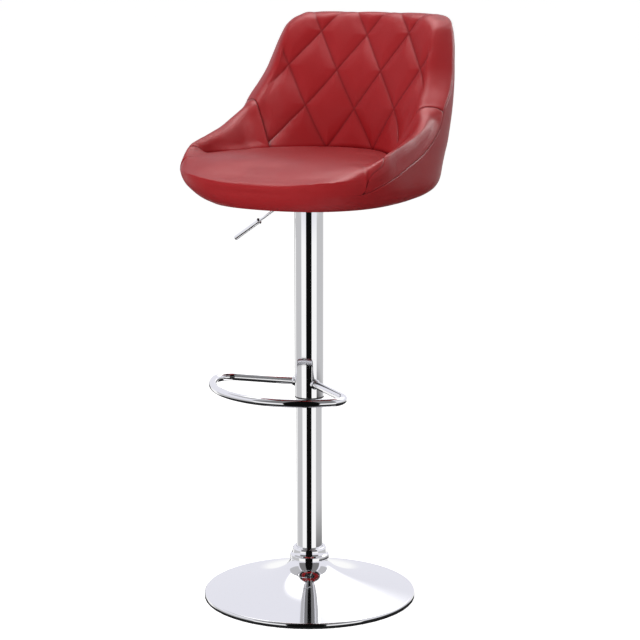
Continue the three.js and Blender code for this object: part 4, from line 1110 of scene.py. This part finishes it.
def makeCushion():
    c = cushion
    turns = np.linspace(-180, 180, c["columns"], endpoint=False)
    seam = seamHeight(turns)
    isFront = turnStep(turns, seat["armTip"] - 1.3, seat["armTip"] + 1)
    # beside a raised pad: the top and a small roll down to the crease
    edge = creaseRadius(turns) - seat["gap"]
    roll = c["roll"] * c["sideRoll"]
    radius = (edge - roll)[:, None] * np.linspace(c["middle"], 1, c["topRows"])[None, :]
    z = cushionTop(turns[:, None], radius)
    drop = np.clip(z[:, -1] - padStart(turns), 8 - 6 * turnStep(turns, 110, 119), roll)
    a = np.linspace(0, np.pi / 2, c["rollRows"])[None, 1:]
    curves = np.stack([
        np.concatenate([radius, (edge - roll)[:, None] + roll * np.sin(a)], 1),
        np.concatenate([z, z[:, -1:] - drop[:, None] * (1 - np.cos(a))], 1)])
    spread = np.linspace(0, 1, curves.shape[2]) ** 0.8
    beside = resampled(curves, 0 * turns, along(curves)[:, -1], spread)
    # round the front: the shared skin, as far as the arm's tip or the shell
    way, whole = tipWay(turns)
    end = way - seat["gap"] * (1 - isFront)
    end = end + (whole - end) * isFront
    tip = resampled(cornerCurve(turns), 0 * turns, end, spread)
    share = tipShare(turns)[:, None]
    curves = mixed(beside, tip, share)
    # each edge beside an arm's tip turns in a little, as a sewn edge does
    toEdge = along(curves)
    toEdge = toEdge[:, -1:] - toEdge
    curves[1] -= share * (1 - isFront)[:, None] * closeness(toEdge, c["sewnTurn"]) ** 2
    leanRadius, lean, root, middle = hiddenWall(turns)
    under, last = seat["padBottom"], curves[0, :, -1]
    inside = outlineRadius(turns, under) - seat["shellWall"] - 2 - seat["gap"]
    foot = mixed(root, inside, isFront) - seat["gap"]
    hidden = np.array([
        (mixed(np.minimum(leanRadius, last), last - 9, isFront) - seat["gap"], foot, foot),
        (mixed(lean, seam - 0.6, isFront), mixed(middle, (seam + under) / 2, isFront),
         under + 0 * turns)])
    skin = polar(turns[:, None], *np.concatenate([curves, hidden.transpose(0, 2, 1)], 2))
    columns, rows = skin.shape[:2]
    faces = gridFaces(columns, rows, True, False)
    centre = float(cushionTop(np.array([180.0]), np.array([0.0]))[0])
    points = np.concatenate([skin.reshape(-1, 3), [(0, 0, centre), (0, 0, seat["padBottom"])]])
    top, bottom = len(points) - 2, len(points) - 1
    for i in range(columns):
        n = (i + 1) % columns
        faces += [(top, i * rows, n * rows), (bottom, n * rows + rows - 1, i * rows + rows - 1)]
    # painted shade: dark on the hidden rows and towards the edges beside the pads, none round the
    # front
    fold = np.ones((columns, rows)) * (1 - isFront)[:, None]
    fold[:, :-3] *= closeness(toEdge, 6 - 4.4 * share) ** 2 * 0.8
    fold = np.concatenate([fold.reshape(-1), (0, 1)])
    points = swollenCushion(skin, points, faces, toEdge)
    piece = meshPiece("seatCushion", points, faces, fold)
    smoothUnder(piece, 50)
    dress(piece, "red_vinyl", "seat", "seat_cushion")


makeCushion()
print("cushion made")

shell = {
    "columns": 288, "rows": 64, "innerRows": 10, "spread": 1.25, "lipDip": 1.4, "lipReach": 4.0,
}


def makeShell():
    turns = np.linspace(-180, 180, shell["columns"], endpoint=False)[:, None]
    base, floor = seat["bottom"], seat["bottom"] + seat["shellFloor"]
    rim = seamHeight(turns)
    z = base + (rim - base) * np.linspace(0, 1, shell["rows"])[None, :] ** shell["spread"]
    sewn = 1 - turnStep(turns, seat["armTip"] - 1, seat["armTip"] + 5)
    lip = sewn * shell["lipDip"] * closeness(rim - z, shell["lipReach"]) ** 2
    outer = outlineRadius(turns, z) - lip - frontValley(turns, z)
    inT = np.linspace(1, 0.08, shell["innerRows"])[None, :]
    inZ = floor + (rim - 0.6 - base - seat["shellFloor"]) * inT
    inner = outlineRadius(turns, inZ) - seat["shellWall"]
    level = np.ones_like(turns)
    hole = seat["floorHole"] * level
    floorEdge = outlineRadius(turns, floor * level) - seat["shellWall"]
    radius = np.concatenate([hole, hole + 2, outer, inner, floorEdge, hole + 2, hole], 1)
    height = np.concatenate([(base + 2) * level, base * level, z, inZ, floor * level, floor * level,
                             (floor - 2) * level], 1)
    skin = polar(turns, radius, height)
    columns, rows = skin.shape[:2]
    # painted shade: a dark line just under the rim and the whole inside dark, except round the
    # front
    fold = np.zeros((columns, rows))
    fold[:, 2:2 + shell["rows"]] = sewn * closeness(rim - z, 1.6) * 0.8
    fold[:, 2 + shell["rows"]:] = sewn
    piece = meshPiece("seatShell", skin.reshape(-1, 3), gridFaces(columns, rows, True, True),
                      fold.reshape(-1))
    smoothUnder(piece, 60)
    dress(piece, "red_vinyl", "seat", "seat_shell")


makeShell()
print("shell made")


# ---- studio

studio = {
    "floorSize": 160.0,  # metres
    "paper": (0.9, 0.9, 0.9, 1),
    "lift": 0.68,  # of white, which the camera sees in the floor on top of the light on it
    "room": 0.36,  # the light of the studio's white walls
}
# what polished metal sees round the stool, in degrees from the camera's side: from and to on the
# left (-) or right (+), lowest and highest, how soft the edges are, and the colour
surroundings = [
    ((-181, 181), (-3, 91), 5, (0.82, 0.82, 0.89)),
    ((-181, -112), (50, 70), 8, (2.0, 2.0, 2.0)),
    ((118, 172), (30, 70), 24, (2.4, 2.4, 2.4)),
    ((165, 181), (50, 70), 8, (2.0, 2.0, 2.0)),
    ((-128, -72), (34, 66), 4, (0.5, 0.5, 0.52)),
    ((72, 118), (34, 66), 4, (0.5, 0.5, 0.52)),
    ((-181, 181), (68, 91), 4, (0.02, 0.02, 0.022)),
    ((-64, 60), (6, 91), 4, (0.2, 0.2, 0.205)),
    ((-128, -64), (-44, -2), 3, (0.56, 0.56, 0.57)),
    ((60, 137), (-44, -2), 3, (0.56, 0.56, 0.57)),
    ((60, 181), (-91, -17), 5, (0.03, 0.03, 0.03)),
    ((-167, -151), (-44, -5), 2, (0.05, 0.05, 0.05)),
    ((-181, 181), (-91, -27), 6, (0.02, 0.02, 0.022)),
    ((-25, 18.5), (-60, 91), 2, (0.004, 0.004, 0.004)),
]
# place, target and size in metres, power, and whether the lamp is a softbox that only the vinyl
# mirrors and that adds no light of its own
lamps = {
    "keyLamp": ((-0.6, -4.0, 1.7), (0, 0, 0.8), (2.4, 1.8), 112, False),
    "sideLamp": ((3.4, -0.8, 2.4), (0, 0, 0.8), (1.2, 2.2), 25, False),
    "topLamp": ((-0.4, 0.2, 3.4), (0, 0, 0.8), (2.0, 1.2), 26, False),
    "seatSoftbox": ((-0.2, 0.3, 3.4), (0, -0.1, 0.9), (2.4, 1.3), 128, True),
    "armSoftbox": ((1.55, 2.5, 2.15), (0.15, 0, 0.9), (0.9, 1.2), 66, True),
}


def makeFloor():
    nothingSelected()
    bpy.ops.mesh.primitive_plane_add(size=studio["floorSize"], location=(0, 0, 0))
    floor = bpy.context.object
    floor.name = "studioFloor"
    material = bpy.data.materials.new("floorPaper")
    wired(emptyTree(material), {
        "plain": ("BsdfDiffuse", {"Color": studio["paper"]}),
        "glow": ("Emission", {"Color": white}), "seen": ("LightPath", {}),
        "share": ("Math", {"operation": "MULTIPLY", "1": studio["lift"]}),
        "both": ("AddShader", {}), "output": ("OutputMaterial", {}),
    }, "seen.Is Camera Ray > share.0", "share.Value > glow.Strength", "plain.BSDF > both.0",
        "glow.Emission > both.1", "both.Shader > output.Surface")
    floor.data.materials.append(material)
    floor.visible_glossy = False
    floor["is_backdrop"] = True


def fed(tree, kind, values, *sources):
    # a node whose first inputs take the given sockets: gives its result
    node = addNode(tree, kind, values)
    for i, source in enumerate(sources):
        tree.links.new(source, node.inputs[i])
    return node.outputs["Result" if kind == "MapRange" else "Value"]


def window(tree, value, limits, soft):
    # 1 between the limits, 0 outside, with soft edges
    masks = [fed(tree, "MapRange", {
        "interpolation_type": "SMOOTHSTEP", "To Min": outside, "To Max": 1 - outside,
        "From Min": edge - soft / 2, "From Max": edge + soft / 2}, value)
        for edge, outside in zip(limits, (0, 1))]
    return fed(tree, "Math", {"operation": "MULTIPLY"}, *masks)


def makeWorld():
    world = bpy.data.worlds.new("studioWorld")
    bpy.context.scene.world = world
    tree = emptyTree(world)
    direction = addNode(tree, "TexCoord", {}).outputs["Generated"]
    c, s = math.cos(math.radians(camera["turn"])), math.sin(math.radians(camera["turn"]))
    forward, side, up = (fed(tree, "VectorMath", {"operation": "DOT_PRODUCT", "1": axis}, direction)
                         for axis in ((s, -c, 0), (c, s, 0), (0, 0, 1)))
    turn, rise = (fed(tree, "Math", {"operation": "MULTIPLY", "1": 180 / math.pi},
                      fed(tree, "Math", {"operation": operation}, *sides))
                  for operation, sides in (("ARCTAN2", (side, forward)), ("ARCSINE", (up,))))
    colour = addNode(tree, "RGB", {}).outputs["Color"]
    colour.default_value = white
    for turns, rises, soft, tone in surroundings:
        mask = fed(tree, "Math", {"operation": "MULTIPLY"},
                   window(tree, turn, turns, soft), window(tree, rise, rises, soft))
        mix = addNode(tree, "Mix", {"data_type": "RGBA", "B": (*tone, 1)})
        tree.links.new(mask, mix.inputs["Factor"])
        tree.links.new(colour, mix.inputs["A"])
        colour = mix.outputs["Result"]
    made = wired(tree, {
        "room": ("Background", {"Color": white, "Strength": studio["room"]}),
        "paper": ("Background", {"Color": white}), "walls": ("Background", {}),
        "seen": ("LightPath", {}), "either": ("Math", {"operation": "MAXIMUM"}),
        "inMetal": ("MixShader", {}), "direct": ("MixShader", {}), "output": ("OutputWorld", {}),
    }, "seen.Is Camera Ray > either.0", "seen.Is Transmission Ray > either.1",
        "seen.Is Glossy Ray > inMetal.0", "room.Background > inMetal.1",
        "walls.Background > inMetal.2", "either.Value > direct.0", "inMetal.Shader > direct.1",
        "paper.Background > direct.2", "direct.Shader > output.Surface")
    tree.links.new(colour, made["walls"].inputs["Color"])


def addLamps():
    vinyl = bpy.data.collections.new("vinylPieces")
    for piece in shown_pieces():
        if finishes["redVinyl"] in list(piece.data.materials):
            vinyl.objects.link(piece)
    for name, (place, target, size, power, softbox) in lamps.items():
        bpy.ops.object.light_add(type="AREA", location=place)
        lamp = bpy.context.object
        lamp.name = name
        lamp.data.shape = "RECTANGLE"
        lamp.data.size, lamp.data.size_y = size
        lamp.data.energy = power
        lamp.rotation_euler = (Vector(target) - Vector(place)).to_track_quat("-Z", "Y").to_euler()
        lamp.visible_glossy = softbox
        if softbox:
            lamp.visible_diffuse = False
            lamp.light_linking.receiver_collection = vinyl


makeFloor()
makeWorld()
addLamps()
bpy.context.scene.view_settings.view_transform = "Standard"
print("studio set")
